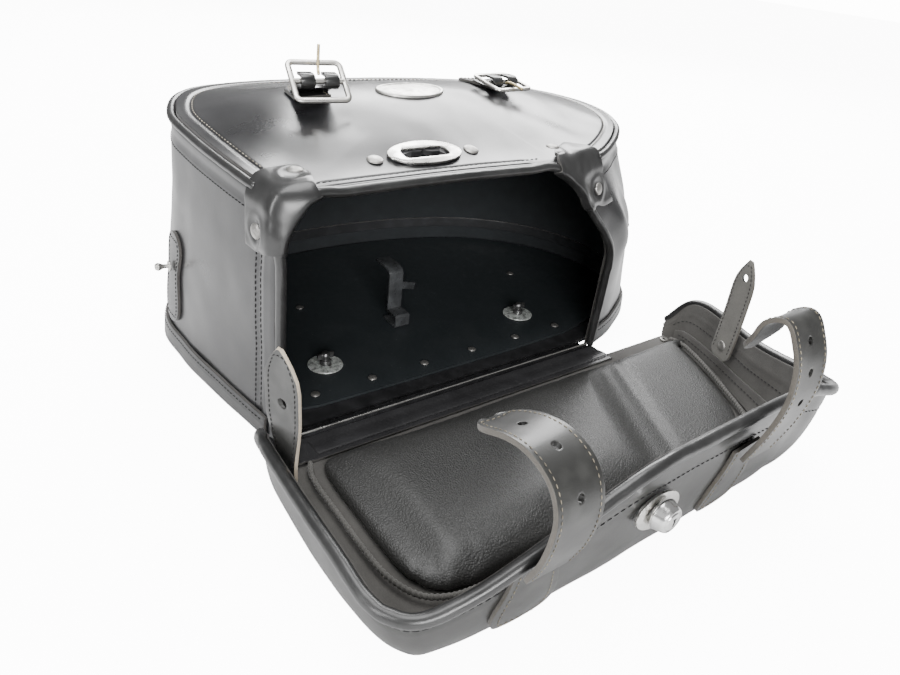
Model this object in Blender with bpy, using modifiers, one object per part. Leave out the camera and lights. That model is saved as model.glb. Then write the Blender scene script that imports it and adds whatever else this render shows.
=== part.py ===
"""A leather motorcycle saddlebag lying on its back plate, with its lid folded open on the ground.

Metres, +Z up. The origin is on the underside of the back plate, midway between the two mounting
studs. X runs along the lid hinge, Y from the hinge towards the round far side of the bag.
Outlines are written in millimetres and turned into metres by MM.
"""

import math

import bmesh
import bpy
import numpy as np

MM = 0.001

# Driving dimensions, in millimetres.
LEATHER = 3.5
GAP = 0.4
PLATE_THICKNESS = 4.0
BOARD_THICKNESS = 2.2
WELT_RADIUS = 3.2
BINDING_RADIUS = 4.0
LID_BINDING_RADIUS = 4.3
BAND_HEIGHT = 19.0
MOUTH_Y = -67.0
FAR_Y = 195.0
MOUTH_Z = 190.0
FAR_Z = 204.0
CROWN = 24.0
HINGE = (-87.0, 10.0)
LID_BACK_Y = -97.0
STRAP_WIDTH = 34.0
STRAP_THICKNESS = 3.2
STUD_X = 110.0
SLOT = (-48.0, -34.0)
LOCK_X = -48.0
BUCKLES = {
    "left": {"at": (-96.0, 46.0), "turn": -7.0, "tilt": 40.0, "prong": 125.0, "lift": 18.0},
    "right": {"at": (98.0, 60.0), "turn": 6.0, "tilt": 10.0, "prong": 0.0, "lift": 8.0},
}

# Outer edge of the wall where it meets the back plate, from the left of the mouth round the far
# side to the right of the mouth.
BACK = [
    (-186, -70), (-198, 0), (-207, 70), (-204, 130), (-165, 190), (-95, 224), (-7, 236),
    (95, 229), (190, 198), (258, 136), (280, 55), (250, -15), (190, -55), (142, -72),
]
# The same edge where the wall meets the front panel.
FRONT = [
    (-180, -67, 190), (-188, -10, 194), (-192, 55, 197), (-190, 108, 201), (-164, 158, 204),
    (-105, 186, 204), (-7, 195, 204), (95, 188, 204), (165, 162, 204), (214, 115, 202),
    (228, 60, 200), (205, 5, 196), (135, -48, 192), (77, -68, 190),
]
# Edge of the lid's flat top where it lies on the ground, and the free edge of its rim.
LID_FLOOR = [
    (-200, -97), (-206, -130), (-206, -218), (-192, -262), (-170, -272), (-75, -275), (-21, -275),
    (71, -275), (120, -273), (158, -264), (203, -201), (232.5, -124), (231, -97),
]
LID_RIM = [
    (-204, -93, 36), (-214, -128, 53), (-216, -218, 54), (-211, -270, 51), (-176, -288, 61),
    (-75, -298, 104), (-21, -296, 105), (71, -293, 102), (120, -291, 95), (170, -282, 79),
    (210, -204, 58), (237, -122, 54), (234, -93, 22),
]
# Side profile of each closing strap from its crease to its tip, as (y, z).
STRAP_PROFILES = {
    "left": [(-299.5, 67), (-307, 89), (-309, 114), (-301, 130), (-286, 136), (-270, 134),
             (-252, 126), (-242, 120)],
    "right": [(-300.5, 71), (-308, 97), (-312, 123), (-310, 143), (-304, 157), (-296, 167),
              (-286, 162), (-282, 149), (-275, 137)],
}
STRAP_X = {"left": -137.0, "right": 45.0}


# ---------------------------------------------------------------- scene and materials

def clear_scene():
    for obj in list(bpy.data.objects):
        bpy.data.objects.remove(obj, do_unlink=True)


def material(name, colour, roughness, metallic=0.0):
    found = bpy.data.materials.get(name)
    if found:
        return found
    made = bpy.data.materials.new(name)
    made.use_nodes = True
    shader = made.node_tree.nodes["Principled BSDF"]
    shader.inputs["Base Color"].default_value = (*colour, 1.0)
    shader.inputs["Roughness"].default_value = roughness
    shader.inputs["Metallic"].default_value = metallic
    made.diffuse_color = (*colour, 1.0)
    return made


def leather():
    return material("black_leather", (0.025, 0.025, 0.027), 0.42)


def suede():
    return material("grey_suede", (0.16, 0.15, 0.14), 0.85)


def liner():
    return material("pad_leatherette", (0.055, 0.055, 0.057), 0.6)


def board():
    return material("black_board", (0.02, 0.022, 0.023), 0.5)


def black_steel():
    return material("black_steel", (0.02, 0.02, 0.02), 0.35, 0.6)


def nickel():
    return material("nickel", (0.62, 0.62, 0.6), 0.25, 1.0)


def pewter():
    return material("pewter", (0.3, 0.3, 0.29), 0.35, 1.0)


def zinc():
    return material("zinc", (0.5, 0.52, 0.5), 0.4, 1.0)


def brass():
    return material("brass", (0.6, 0.5, 0.3), 0.3, 1.0)


# ---------------------------------------------------------------- shape helpers

def fine_curve(points):
    """Closely spaced points on a Catmull-Rom curve, the same number between each two given ones."""
    base = np.array(points, float)
    ends = np.vstack([2 * base[0] - base[1], base, 2 * base[-1] - base[-2]])
    curve = []
    for i in range(1, len(ends) - 2):
        p0, p1, p2, p3 = ends[i - 1:i + 3]
        for u in np.linspace(0, 1, 24, endpoint=False):
            curve.append(0.5 * (2 * p1 + (p2 - p0) * u + (2 * p0 - 5 * p1 + 4 * p2 - p3) * u ** 2
                                + (3 * p1 - p0 - 3 * p2 + p3) * u ** 3))
    curve.append(base[-1])
    return np.array(curve)


def smooth_together(outlines, count):
    """count + 1 points on each outline, matched point for point and evenly spaced on average."""
    curves = [fine_curve(points) for points in outlines]
    steps = sum(np.linalg.norm(np.diff(c, axis=0), axis=1) for c in curves)
    length = np.concatenate([[0], np.cumsum(steps)])
    wanted = np.linspace(0, length[-1], count + 1)
    return [np.stack([np.interp(wanted, length, c[:, k]) for k in range(c.shape[1])], 1)
            for c in curves]


def smooth(points, count):
    """count + 1 points, evenly spaced along a smooth curve through the given ones."""
    return smooth_together([points], count)[0]


def outward(line):
    """Horizontal unit vectors pointing out of the bag along an outline."""
    along = np.gradient(np.array(line)[:, :2], axis=0)
    along /= np.linalg.norm(along, axis=1)[:, None]
    return np.stack([-along[:, 1], along[:, 0]], 1)


def offset_outline(line, distance):
    """The plan of an outline moved outwards, or inwards where distance is negative."""
    return np.array(line)[:, :2] + outward(line) * distance


def link(obj, mat, parent=None):
    bpy.data.collections["Saddlebag"].objects.link(obj)
    obj.data.materials.append(mat)
    if parent:
        obj.parent = parent
    return obj


def mesh_object(name, points, faces, mat, parent=None):
    """A mesh from points in millimetres, with coincident points merged and faces turned one way."""
    mesh = bpy.data.meshes.new(name)
    mesh.from_pydata([tuple(np.array(p) * MM) for p in points], [], faces)
    shape = bmesh.new()
    shape.from_mesh(mesh)
    bmesh.ops.remove_doubles(shape, verts=shape.verts, dist=1e-5)
    shape.to_mesh(mesh)
    shape.free()
    mesh.shade_smooth()
    return link(bpy.data.objects.new(name, mesh), mat, parent)


def grid_faces(rows, columns, closed=False):
    """Quads of a grid of rows x columns points. A closed grid joins its last column to its first."""
    last = columns if closed else columns - 1
    faces = []
    for r in range(rows - 1):
        for c in range(last):
            n = (c + 1) % columns
            faces.append((r * columns + c, r * columns + n,
                          (r + 1) * columns + n, (r + 1) * columns + c))
    return faces


def thicken(obj, thickness, side=-1, even=True):
    """Gives an open surface a wall. side -1 puts it behind the faces, 1 in front of them."""
    modifier = obj.modifiers.new("Wall", "SOLIDIFY")
    modifier.thickness = thickness * MM
    modifier.offset = side
    modifier.use_even_offset = even
    return obj


def sheet(name, rows, thickness, mat, side=-1, even=True):
    """A leather sheet: rows of points in millimetres, thickened to one side."""
    rows = [list(r) for r in rows]
    points = [p for row in rows for p in row]
    obj = mesh_object(name, points, grid_faces(len(rows), len(rows[0])), mat)
    return thicken(obj, thickness, side, even)


def tube(name, points, radius, mat, parent=None):
    """A round cord along points in millimetres, with its ends filled."""
    curve = bpy.data.curves.new(name, "CURVE")
    curve.dimensions = "3D"
    curve.bevel_depth = radius * MM
    curve.bevel_resolution = 2
    curve.use_fill_caps = True
    spline = curve.splines.new("POLY")
    spline.points.add(len(points) - 1)
    for point, place in zip(spline.points, points):
        point.co = (*[v * MM for v in place], 1.0)
    return link(bpy.data.objects.new(name, curve), mat, parent)


def add_loop(curve, outline):
    spline = curve.splines.new("POLY")
    spline.points.add(len(outline) - 1)
    spline.use_cyclic_u = True
    for point, place in zip(spline.points, outline):
        point.co = (place[0] * MM, place[1] * MM, 0.0, 1.0)


def plate(name, outline, thickness, mat, holes=(), at=(0, 0, 0), turn=(0, 0, 0), parent=None):
    """A flat plate cut to an outline in millimetres, centred on its own thickness."""
    curve = bpy.data.curves.new(name, "CURVE")
    curve.dimensions = "2D"
    curve.fill_mode = "BOTH"
    curve.extrude = thickness * MM / 2
    for loop in (outline, *holes):
        add_loop(curve, loop)
    obj = link(bpy.data.objects.new(name, curve), mat, parent)
    obj.location = [v * MM for v in at]
    obj.rotation_euler = [math.radians(v) for v in turn]
    return obj


def turned(name, profile, mat, at=(0, 0, 0), turn=(0, 0, 0), steps=14, parent=None):
    """A lathe shape: profile is (radius, height) from its top on the axis to its bottom."""
    mesh = bpy.data.meshes.new(name)
    points = [(r * MM, 0.0, z * MM) for r, z in profile]
    mesh.from_pydata(points, [(i, i + 1) for i in range(len(points) - 1)], [])
    obj = link(bpy.data.objects.new(name, mesh), mat, parent)
    screw = obj.modifiers.new("Turn", "SCREW")
    screw.axis = "Z"
    screw.steps = steps
    screw.render_steps = steps
    screw.use_merge_vertices = True
    screw.merge_threshold = 0.00001
    screw.use_smooth_shade = True
    obj.location = [v * MM for v in at]
    obj.rotation_euler = [math.radians(v) for v in turn]
    return obj


def as_mesh(obj):
    """The same object with its curve or modifiers made into plain faces."""
    bpy.context.view_layer.update()
    graph = bpy.context.evaluated_depsgraph_get()
    mesh = bpy.data.meshes.new_from_object(obj.evaluated_get(graph))
    shape = bmesh.new()
    shape.from_mesh(mesh)
    bmesh.ops.remove_doubles(shape, verts=shape.verts, dist=1e-6)
    shape.to_mesh(mesh)
    shape.free()
    name, place, parent = obj.name, obj.matrix_world.copy(), obj.parent
    mat = obj.data.materials[0]
    bpy.data.objects.remove(obj, do_unlink=True)
    mesh.materials.clear()
    made = link(bpy.data.objects.new(name, mesh), mat, parent)
    if parent:
        made.matrix_parent_inverse = parent.matrix_world.inverted()
    made.matrix_world = place
    return made


def cutter(obj):
    """Moves a helper solid to the cutters' collection."""
    bpy.data.collections["Saddlebag"].objects.unlink(obj)
    bpy.data.collections["Cutters"].objects.link(obj)
    obj.display_type = "WIRE"
    obj.hide_render = True
    return obj


def boolean(obj, tool, operation="DIFFERENCE"):
    modifier = obj.modifiers.new(operation.title(), "BOOLEAN")
    modifier.operation = operation
    modifier.object = cutter(tool)
    return obj


def box(name, size, mat, at=(0, 0, 0), turn=(0, 0, 0), parent=None):
    mesh = bpy.data.meshes.new(name)
    shape = bmesh.new()
    bmesh.ops.create_cube(shape, size=1.0)
    bmesh.ops.scale(shape, vec=[v * MM for v in size], verts=shape.verts)
    shape.to_mesh(mesh)
    shape.free()
    obj = link(bpy.data.objects.new(name, mesh), mat, parent)
    obj.location = [v * MM for v in at]
    obj.rotation_euler = [math.radians(v) for v in turn]
    return obj


def axis_empty(name, at, parent=None):
    """A pivot that a moving group hangs on. Its own place and its children's are in world axes."""
    obj = bpy.data.objects.new(name, None)
    bpy.data.collections["Saddlebag"].objects.link(obj)
    obj.location = [v * MM for v in at]
    if parent:
        obj.parent = parent
        obj.matrix_parent_inverse = parent.matrix_world.inverted()
    bpy.context.view_layer.update()
    return obj


def hang(obj, pivot):
    """Parents obj to a pivot and leaves it where it is."""
    obj.parent = pivot
    obj.matrix_parent_inverse = pivot.matrix_world.inverted()
    return obj


def ellipse(half_x, half_y, count, centre=(0, 0)):
    angles = [2 * math.pi * i / count for i in range(count)]
    return [(centre[0] + half_x * math.cos(a), centre[1] + half_y * math.sin(a)) for a in angles]


def rounded(width, height, radius, corner=4, centre=(0, 0)):
    """A rectangle with round corners, counter-clockwise."""
    points = []
    for k, (sx, sy) in enumerate([(1, 1), (-1, 1), (-1, -1), (1, -1)]):
        for i in range(corner + 1):
            a = math.radians(90 * k + 90 * i / corner)
            points.append((centre[0] + sx * (width / 2 - radius) + radius * math.cos(a),
                           centre[1] + sy * (height / 2 - radius) + radius * math.sin(a)))
    return points


def dome(radius, height, shank=0.0):
    """Profile of a domed rivet head standing on z = 0, with an optional shank below it."""
    points = [(radius * math.sin(a), height * (0.25 + 0.75 * math.cos(a)))
              for a in np.linspace(0, math.pi / 2, 4)]
    points.append((radius, 0.0))
    if shank:
        points += [(radius * 0.4, 0.0), (radius * 0.4, -shank), (0.0, -shank)]
    else:
        points.append((0.0, 0.0))
    points[0] = (0.0, height)
    return points


# ---------------------------------------------------------------- the bag's surfaces

WALL_COUNT = 40
BACK_LINE, FRONT_LINE = smooth_together([BACK, FRONT], WALL_COUNT)


def along(line, i):
    """The line's value at i, which may fall between two of its points."""
    line = np.array(line)
    low = min(int(i), len(line) - 2)
    return line[low] + (line[low + 1] - line[low]) * (i - low)


def ease(x):
    x = min(max(x, 0.0), 1.0)
    return x * x * (3 - 2 * x)


def wall_point(i, s, out=0.0):
    """Point on the wall's outer face: i along the outline, s from the back plate to the front seam.

    Near the right of the mouth the wall stands nearly upright and then folds in under the panel.
    """
    t = i / WALL_COUNT
    kink = ease((t - 0.75) / 0.25)
    share = (1 - kink) * s + kink * ease((s - 0.5) / 0.5)
    back = along(BACK_LINE, i)
    front = along(FRONT_LINE, i)
    plan = back + (front[:2] - back) * share + along(outward(FRONT_LINE), i) * out
    return np.array([plan[0], plan[1], front[2] * s])


def on_wall(i, s, out):
    """Place a distance out from the wall, and the turn that points a part's own Z outwards."""
    across = wall_point(i + 0.25, s) - wall_point(i - 0.25, s)
    up = wall_point(i, s + 0.02) - wall_point(i, s - 0.02)
    normal = np.cross(up, across)
    normal /= np.linalg.norm(normal)
    turn = (0, math.degrees(math.acos(normal[2])), math.degrees(math.atan2(normal[1], normal[0])))
    return tuple(wall_point(i, s) + normal * out), turn


def crown(x, y):
    """Height of the front panel's outer face, crowned, with a dent near its right front corner."""
    u = min(abs((x - 18) / 212), 1.0)
    v = min(max((y - MOUTH_Y) / (FAR_Y - MOUTH_Y), 0.0), 1.0)
    base = MOUTH_Z + (FAR_Z - MOUTH_Z) * v
    dent = 0.65 * math.exp(-((x - 155) ** 2 + (y + 12) ** 2) / 55 ** 2)
    return base + CROWN * (1 - u ** 2.4) ** 0.8 * math.sin(math.pi * v) ** 1.6 * (1 - dent)


def panel_edge():
    """Closed outline of the front panel, inside the welt, with its own edge height."""
    plan = offset_outline(FRONT_LINE, -(WELT_RADIUS + GAP + 0.1))
    plan[:, 1] = np.maximum(plan[:, 1], MOUTH_Y)
    around = [(x, y, z) for (x, y), z in zip(plan, FRONT_LINE[:, 2])]
    around = [around[0]] + [p for p in around[1:-1] if p[1] > MOUTH_Y + 0.5] + [around[-1]]
    right, left = around[-1], around[0]
    for share in np.linspace(0, 1, 12)[1:-1]:
        bow = 2.0 * math.sin(math.pi * share)
        around.append((right[0] + (left[0] - right[0]) * share, MOUTH_Y, MOUTH_Z + bow))
    return around


def panel_point(edge, ring):
    """Point of the panel on the ray from its middle to an edge point, ring 0 to 1."""
    middle = np.array([18.0, 60.0])
    x, y = middle + (np.array(edge[:2]) - middle) * ring
    height = crown(x, y)
    pull = ring ** 6
    return (x, y, height + (edge[2] - height) * pull)


def lid_point(i, floor, rim, turn):
    """Point on the lid's outer face between its flat top, turn 0, and its rim, turn 90 degrees."""
    a = math.radians(turn)
    plan = floor[i] + (rim[i][:2] - floor[i]) * math.sin(a)
    return (plan[0], plan[1], rim[i][2] * (1 - math.cos(a)))


# ---------------------------------------------------------------- the rigid back

def make_back():
    """Back plate, lining board, base band, hinge rail, studs and the rivets of the board."""
    inside = offset_outline(BACK_LINE, -(LEATHER + GAP + 0.9))
    inside[:, 1] = np.maximum(inside[:, 1], -65.0)
    plate("back_plate", [tuple(p) for p in inside], PLATE_THICKNESS, black_steel(),
          at=(0, 0, PLATE_THICKNESS / 2))
    lining = [tuple(p) for p in offset_outline(BACK_LINE, -12.0) if p[1] > -32.0]
    front = [(168, -42), (130, -49), (60, -51), (-60, -51), (-140, -50), (-170, -44)]
    board_z = PLATE_THICKNESS + GAP + BOARD_THICKNESS / 2
    plate("stiffener_board", lining + front, BOARD_THICKNESS, board(), at=(0, 0, board_z))

    around = [0.3, *range(1, WALL_COUNT), WALL_COUNT - 0.5]
    low = [wall_point(i, 0.005, GAP + 0.4) for i in around]
    high = [wall_point(i, BAND_HEIGHT / 198, GAP + 0.4) for i in around]
    sheet("back_binding", [low, high], 2.6, leather(), side=-1)

    rail = [(-66.5, 1.4), (-77, 1.4), (-79, 3.0), (-79, 9.4)]
    sheet("edge_channel", [[(x, y, z) for y, z in rail] for x in (-175, 134)], 1.2,
          nickel(), side=1)
    sheet("hinge_flap", [[(x, y, 2.2) for x in (-178, 143)] for y in (-96.4, -80.6)], 3.2,
          leather(), side=0)


def top_of_board():
    return PLATE_THICKNESS + GAP + BOARD_THICKNESS + GAP


def make_board_rivets():
    front = [(-137 + 53.4 * i, -36.0) for i in range(6)]
    others = [(-86, 103), (167, 80)]
    for n, (x, y) in enumerate(front + others, 1):
        turned(f"board_rivet_{n:02d}", dome(4.2, 1.8), pewter(), at=(x, y, top_of_board()),
               steps=10)


def make_studs():
    """Each mounting stud passes through the back in a broad washer and locks by a quarter turn."""
    for side, x in (("left", -STUD_X), ("right", STUD_X)):
        base = top_of_board()
        turned(f"bail_washer_{side}", [(6.0, 1.6), (14.5, 1.6), (15.5, 0.8), (15.5, 0.0),
                                       (6.0, 0.0), (6.0, 1.6)], zinc(), at=(x, 0, base), steps=20)
        pivot = axis_empty(f"axis_stud_{side}", (x, 0, base))
        stud = turned(f"bail_stud_{side}",
                      [(0, 13.5), (3.2, 12.6), (4.4, 10.0), (3.4, 7.4), (3.0, 6.2), (5.2, 5.4),
                       (5.4, 0.2), (0, 0.2)],
                      black_steel(), at=(x, 0, base), steps=12)
        wing = box(f"wing_{side}", (15, 2.6, 5.0), black_steel(), at=(x, 0, base + 9.4))
        hang(boolean(stud, wing, "UNION"), pivot)


def make_latch_bracket():
    """A bent steel strip standing on the board, with a stepped foot and a flange at its top."""
    profile = [(50, 8.6), (29, 8.6), (28, 9.6), (28, 18.5), (29, 19.5), (43, 19.5), (44, 20.5),
               (44, 57), (46, 60), (50, 61.5), (70, 62)]
    rows = [[(x, y, z) for y, z in profile] for x in (-22, -7)]
    bracket = as_mesh(sheet("latch_bracket", rows, 2.4, black_steel(), side=0))
    tab = box("tab_tool", (17, 2.4, 7), black_steel(), at=(-1, 44, 42), turn=(0, 14, 0))
    boolean(bracket, tab, "UNION")


# ---------------------------------------------------------------- the leather body

def make_wall():
    rows = []
    for k in range(9):
        share = k / 8
        row = []
        for i in range(WALL_COUNT + 1):
            foot = 1.2 / FRONT_LINE[i][2]
            top = 1 - (2 * WELT_RADIUS + GAP) / FRONT_LINE[i][2]
            row.append(wall_point(i, foot + share * (top - foot)))
        rows.append(row)
    sheet("gusset_wall", rows[::-1], LEATHER, leather())


def make_front_panel():
    edge = panel_edge()
    rings = [1.0, 0.94, 0.84, 0.68, 0.48, 0.24]
    points = [panel_point(e, r) for r in rings for e in edge]
    faces = grid_faces(len(rings), len(edge), closed=True)
    middle = len(points)
    points.append(panel_point(edge[0], 0.0))
    last = (len(rings) - 1) * len(edge)
    for c in range(len(edge)):
        faces.append((last + c, last + (c + 1) % len(edge), middle))
    faces = [f[::-1] for f in faces]
    panel = as_mesh(thicken(mesh_object("front_panel", points, faces, leather()), LEATHER))
    slot = box("slot_tool", (40, 13, 30), leather(), at=(*SLOT, crown(*SLOT)))
    boolean(panel, slot)


def make_edges():
    """Round welt of the front seam, and the binding of the mouth's raw edges."""
    seam = [(x, y, z - WELT_RADIUS) for x, y, z in smooth(FRONT, 72)]
    tube("front_welt", seam[3:-4], WELT_RADIUS, leather())

    ahead = BINDING_RADIUS + GAP + 0.2
    inward = LEATHER / 2
    path = []
    for s in np.linspace(0.025, 0.86, 9):
        x, y, z = wall_point(0, s)
        path.append((x + inward, y - ahead, z))
    for x in np.linspace(-160, 52, 9):
        bow = 2.0 * math.sin(math.pi * (x + 180) / 257)
        path.append((x, MOUTH_Y - ahead, MOUTH_Z - LEATHER / 2 + bow))
    for s in np.linspace(0.9, 0.025, 12):
        x, y, z = wall_point(WALL_COUNT, s)
        path.append((x - inward, y - ahead, z))
    tube("mouth_binding", smooth(path, 56), BINDING_RADIUS, leather())


def cap_profile(i, inwards, out):
    """Section of a corner cap at outline point i: up the wall, over the seam, onto the panel."""
    points = [wall_point(i, s, out) for s in (0.77, 0.84, 0.91, 0.955)]
    seam = along(FRONT_LINE, i)
    inwards = np.array(inwards) / np.linalg.norm(inwards)
    for inset, lift in ((1.0, -1.0), (7.0, 2.4), (15.0, 3.4), (24.0, 4.0), (33.0, 4.4)):
        x, y = seam[:2] + inwards * inset
        points.append(np.array([x, y, seam[2] + lift]))
    return points


def make_corner_caps():
    """A leather cap is folded over each corner of the mouth and held by two domed rivets."""
    shapes = {
        "left": ([0.05, 0.7, 1.35], [(1, 0), (1, 0), (1, 0)], 1),
        "right": ([39.75, 39.1, 38.4], [(-1, 0), (-1, 0.3), (-1, 0.6)], -1),
    }
    for side, (places, ways, out) in shapes.items():
        rows = [cap_profile(i, way, 1.3) for i, way in zip(places, ways)]
        sheet(f"corner_cap_{side}", rows, 2.8, leather(), side=out)
    for name, at in (("left_top", (-160.5, -52, 199.8)), ("right_top", (62, -55, 199.8))):
        turned(f"cap_rivet_{name}", dome(5.8, 2.4), pewter(), at=at, steps=12)
    for name, i in (("left_side", 0.7), ("right_side", 39.1)):
        at, turn = on_wall(i, 0.85, 4.6)
        turned(f"cap_rivet_{name}", dome(5.8, 2.4), pewter(), at=at, turn=turn, steps=12)


def make_front_trim():
    """Slot plate of the lock with its two rivets, and the plain oval plate further up."""
    tilt = 9.0
    z = crown(*SLOT)
    plate("lock_escutcheon", ellipse(32, 15.5, 28), 1.6, nickel(),
          holes=[rounded(40, 13, 4)], at=(*SLOT, z + 2.6), turn=(tilt, 0, 0))
    for side, x in (("left", -43), ("right", 43)):
        turned(f"escutcheon_rivet_{side}", dome(6.5, 2.0), pewter(),
               at=(SLOT[0] + x, SLOT[1], z + 1.0), turn=(tilt + 3, 0, 0), steps=12)
    plate("oval_badge", ellipse(32.5, 19, 28), 1.6, nickel(), at=(-3, 61, crown(-3, 61) + 1.8))


def make_buckle(side, at, turn, tilt, prong, lift):
    """A bar buckle: its frame and its prong both turn on the bar, which lies in a leather loop.

    tilt raises the frame's far end, prong is the prong's angle above the frame, and lift is the
    height of the bar above the panel.
    """
    x, y = at
    bar_z = crown(x, y) + lift
    place = (x, y, bar_z)
    frame_axis = axis_empty(f"axis_buckle_{side}", place)
    prong_axis = axis_empty(f"axis_prong_{side}", place, frame_axis)
    windows = [rounded(40, 14.5, 3, centre=(0, 9.75)), rounded(40, 14.5, 3, centre=(0, -9.75))]
    frame = plate(f"buckle_frame_{side}", rounded(51, 43, 5), 3.0, nickel(), holes=windows,
                  at=place, turn=(tilt, 0, turn))
    hang(frame, frame_axis)

    inner, outer = 3.5, 5.6
    bend = np.radians(np.linspace(-90, 90, 9))
    drop = lift - outer - 4.0
    section = [(24, -inner - drop), (8, -inner)]
    section += [(-inner * math.cos(a), inner * math.sin(a)) for a in bend]
    section += [(7, inner), (7, outer)]
    section += [(-outer * math.cos(a), outer * math.sin(a)) for a in bend[::-1]]
    section += [(8, -outer), (24, -outer - drop)]
    strap = as_mesh(plate(f"buckle_strap_{side}", section, 30, leather(), at=place,
                          turn=(90, 0, 90 + turn)))
    boolean(strap, box(f"prong_slot_{side}", (8, 24, 16), leather(), at=(x, y, bar_z + 4),
                       turn=(0, 0, turn)))

    swing = math.radians(tilt - prong)
    spin = math.radians(turn)
    points = []
    for v, w in ((-4.6, 0.6), (-7, 2.4), (-10, 3.3), (-17, 3.6), (-26, 3.4)):
        near = v * math.cos(swing) - w * math.sin(swing)
        height = v * math.sin(swing) + w * math.cos(swing)
        points.append((x - near * math.sin(spin), y + near * math.cos(spin), bar_z + height))
    hang(tube(f"buckle_prong_{side}", points, 1.3, brass()), prong_axis)


def wall_index(side, y, height):
    """Outline index where the left or right wall's outer face has that Y at that height."""
    span = (0, WALL_COUNT // 3) if side == "left" else (2 * WALL_COUNT // 3, WALL_COUNT)
    tries = np.linspace(*span, 400)
    return min(tries, key=lambda i: abs(wall_point(i, height / 198)[1] - y))


def make_side_hardware():
    """A leather patch and a ball stud low on each side wall, for the lid's side tabs."""
    for side, y, low, high in (("left", 92, 26, 108), ("right", 15, 60, 112)):
        i = wall_index(side, y, 78)
        way = along(BACK_LINE, i + 0.5) - along(BACK_LINE, i - 0.5)
        way = way / np.linalg.norm(way)
        rows = []
        for z in np.linspace(high, low, 5):
            x, y_here, _ = wall_point(i, z / 198, 1.4)
            rows.append([(x + way[0] * reach, y_here + way[1] * reach, z)
                         for reach in (-15, 0, 15)])
        sheet(f"side_patch_{side}", rows, 2.4, leather(), side=1)
        at, turn = on_wall(i, 78 / 198, 4.7)
        turned(f"side_stud_{side}",
               [(0, 12.6), (2.4, 12.0), (3.6, 10.0), (3.0, 7.6), (1.8, 6.2), (1.8, 1.8),
                (4.6, 1.4), (4.6, 0), (0, 0)],
               nickel(), at=at, turn=turn, steps=12)


# ---------------------------------------------------------------- the lid

LID_COUNT = 44


def lid_lines():
    return smooth_together([LID_FLOOR, LID_RIM], LID_COUNT)


def steepness(line):
    """Length along a line for each unit of its plan, which is 1 where the line is level."""
    step = np.gradient(line, axis=0)
    return np.linalg.norm(step, axis=1) / np.linalg.norm(step[:, :2], axis=1)


def make_lid(pivot):
    """Lid shell: a flat top and a deep gusset in one moulded sheet, bound along its rim."""
    floor, rim = lid_lines()
    shell_rim = rim.copy()
    shell_rim[:, 2] -= 2 * (LID_BINDING_RADIUS + GAP) * steepness(rim)
    rows = []
    back = np.linspace(floor[0][0] + 16, floor[-1][0] - 16, LID_COUNT + 1)
    for share in np.linspace(0, 1, 6)[:-1]:
        rows.append([(back[i] + (floor[i][0] - back[i]) * share,
                      LID_BACK_Y + (floor[i][1] - LID_BACK_Y) * share, 0.0)
                     for i in range(LID_COUNT + 1)])
    for turn in (0, 20, 40, 58, 74, 90):
        rows.append([lid_point(i, floor, shell_rim, turn) for i in range(LID_COUNT + 1)])
    shell = as_mesh(sheet("lid_shell", rows, LEATHER, leather(), side=-1, even=False))
    bore = turned("lock_bore", [(0, 20), (4.6, 20), (4.6, -20), (0, -20)], leather(),
                  at=(LOCK_X, -297, 64), turn=(90, 0, 0), steps=12)
    hang(boolean(shell, as_mesh(bore)), pivot)

    inset = offset_outline(rim, -LEATHER / 2)
    line = [(x, y, z - LID_BINDING_RADIUS) for (x, y), z in zip(inset, rim[:, 2])]
    hang(tube("lid_rim_binding", smooth(line, 58), LID_BINDING_RADIUS, leather()), pivot)

    pad = ([(-178, -112), (-184, -130), (-184, -225), (-170, -250), (-140, -258), (120, -258),
            (152, -250), (180, -218), (205, -170), (223, -124), (219, -112)])
    cushion = plate("liner_pad", [tuple(p[:2]) for p in smooth(pad, 30)], 11.0, liner(),
                    at=(0, 0, 4.3 + 5.5))
    hang(cushion, pivot)


def lid_outer(x, height):
    """Y of the lid's outer front face at that x and height."""
    floor, rim = lid_lines()
    best = None
    for i in range(LID_COUNT):
        span = rim[i + 1][0] - rim[i][0]
        if rim[i][1] < -240 and span > 0 and rim[i][0] <= x <= rim[i + 1][0]:
            best = (i, (x - rim[i][0]) / span)
    i, part = best
    top = rim[i][2] + (rim[i + 1][2] - rim[i][2]) * part - 2 * (LID_BINDING_RADIUS + GAP)
    edge = rim[i][1] + (rim[i + 1][1] - rim[i][1]) * part
    row = np.argmin(np.abs(floor[:, 0] - x))
    a = math.acos(1 - min(height / top, 1.0))
    return floor[row][1] + (edge - floor[row][1]) * math.sin(a)


def strip(name, profile, x, width, thickness, mat, side, taper=None):
    """A strap of constant width along a (y, z) profile, narrowed over its last stretch."""
    rows = []
    last = len(profile) - 1
    for n, (y, z) in enumerate(profile):
        half = width / 2
        if taper and n >= last - 1:
            half *= taper[n - last + 1]
        rows.append([(x + half * k, y, z) for k in (-1, 0, 1)])
    return sheet(name, rows, thickness, mat, side)


def make_straps(lid_pivot):
    """Each closing strap is sewn to the lid's front and bends at the top of its sewn patch."""
    for side, x in STRAP_X.items():
        heights = np.linspace(16, 60 if side == "left" else 66, 7)
        patch = [(lid_outer(x, z) - 1.5, z) for z in heights]
        patch_piece = strip(f"strap_patch_{side}", patch, x, STRAP_WIDTH, STRAP_THICKNESS,
                            leather(), side=1)
        hang(patch_piece, lid_pivot)
        profile = [tuple(p) for p in smooth(STRAP_PROFILES[side], 16)]
        start = profile[0]
        pivot = axis_empty(f"axis_strap_{side}", (x, start[0], start[1]), lid_pivot)
        piece = strip(f"strap_{side}", profile, x, STRAP_WIDTH, STRAP_THICKNESS, leather(),
                      side=1, taper=(0.95, 0.55))
        hang(piece, pivot)


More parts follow.
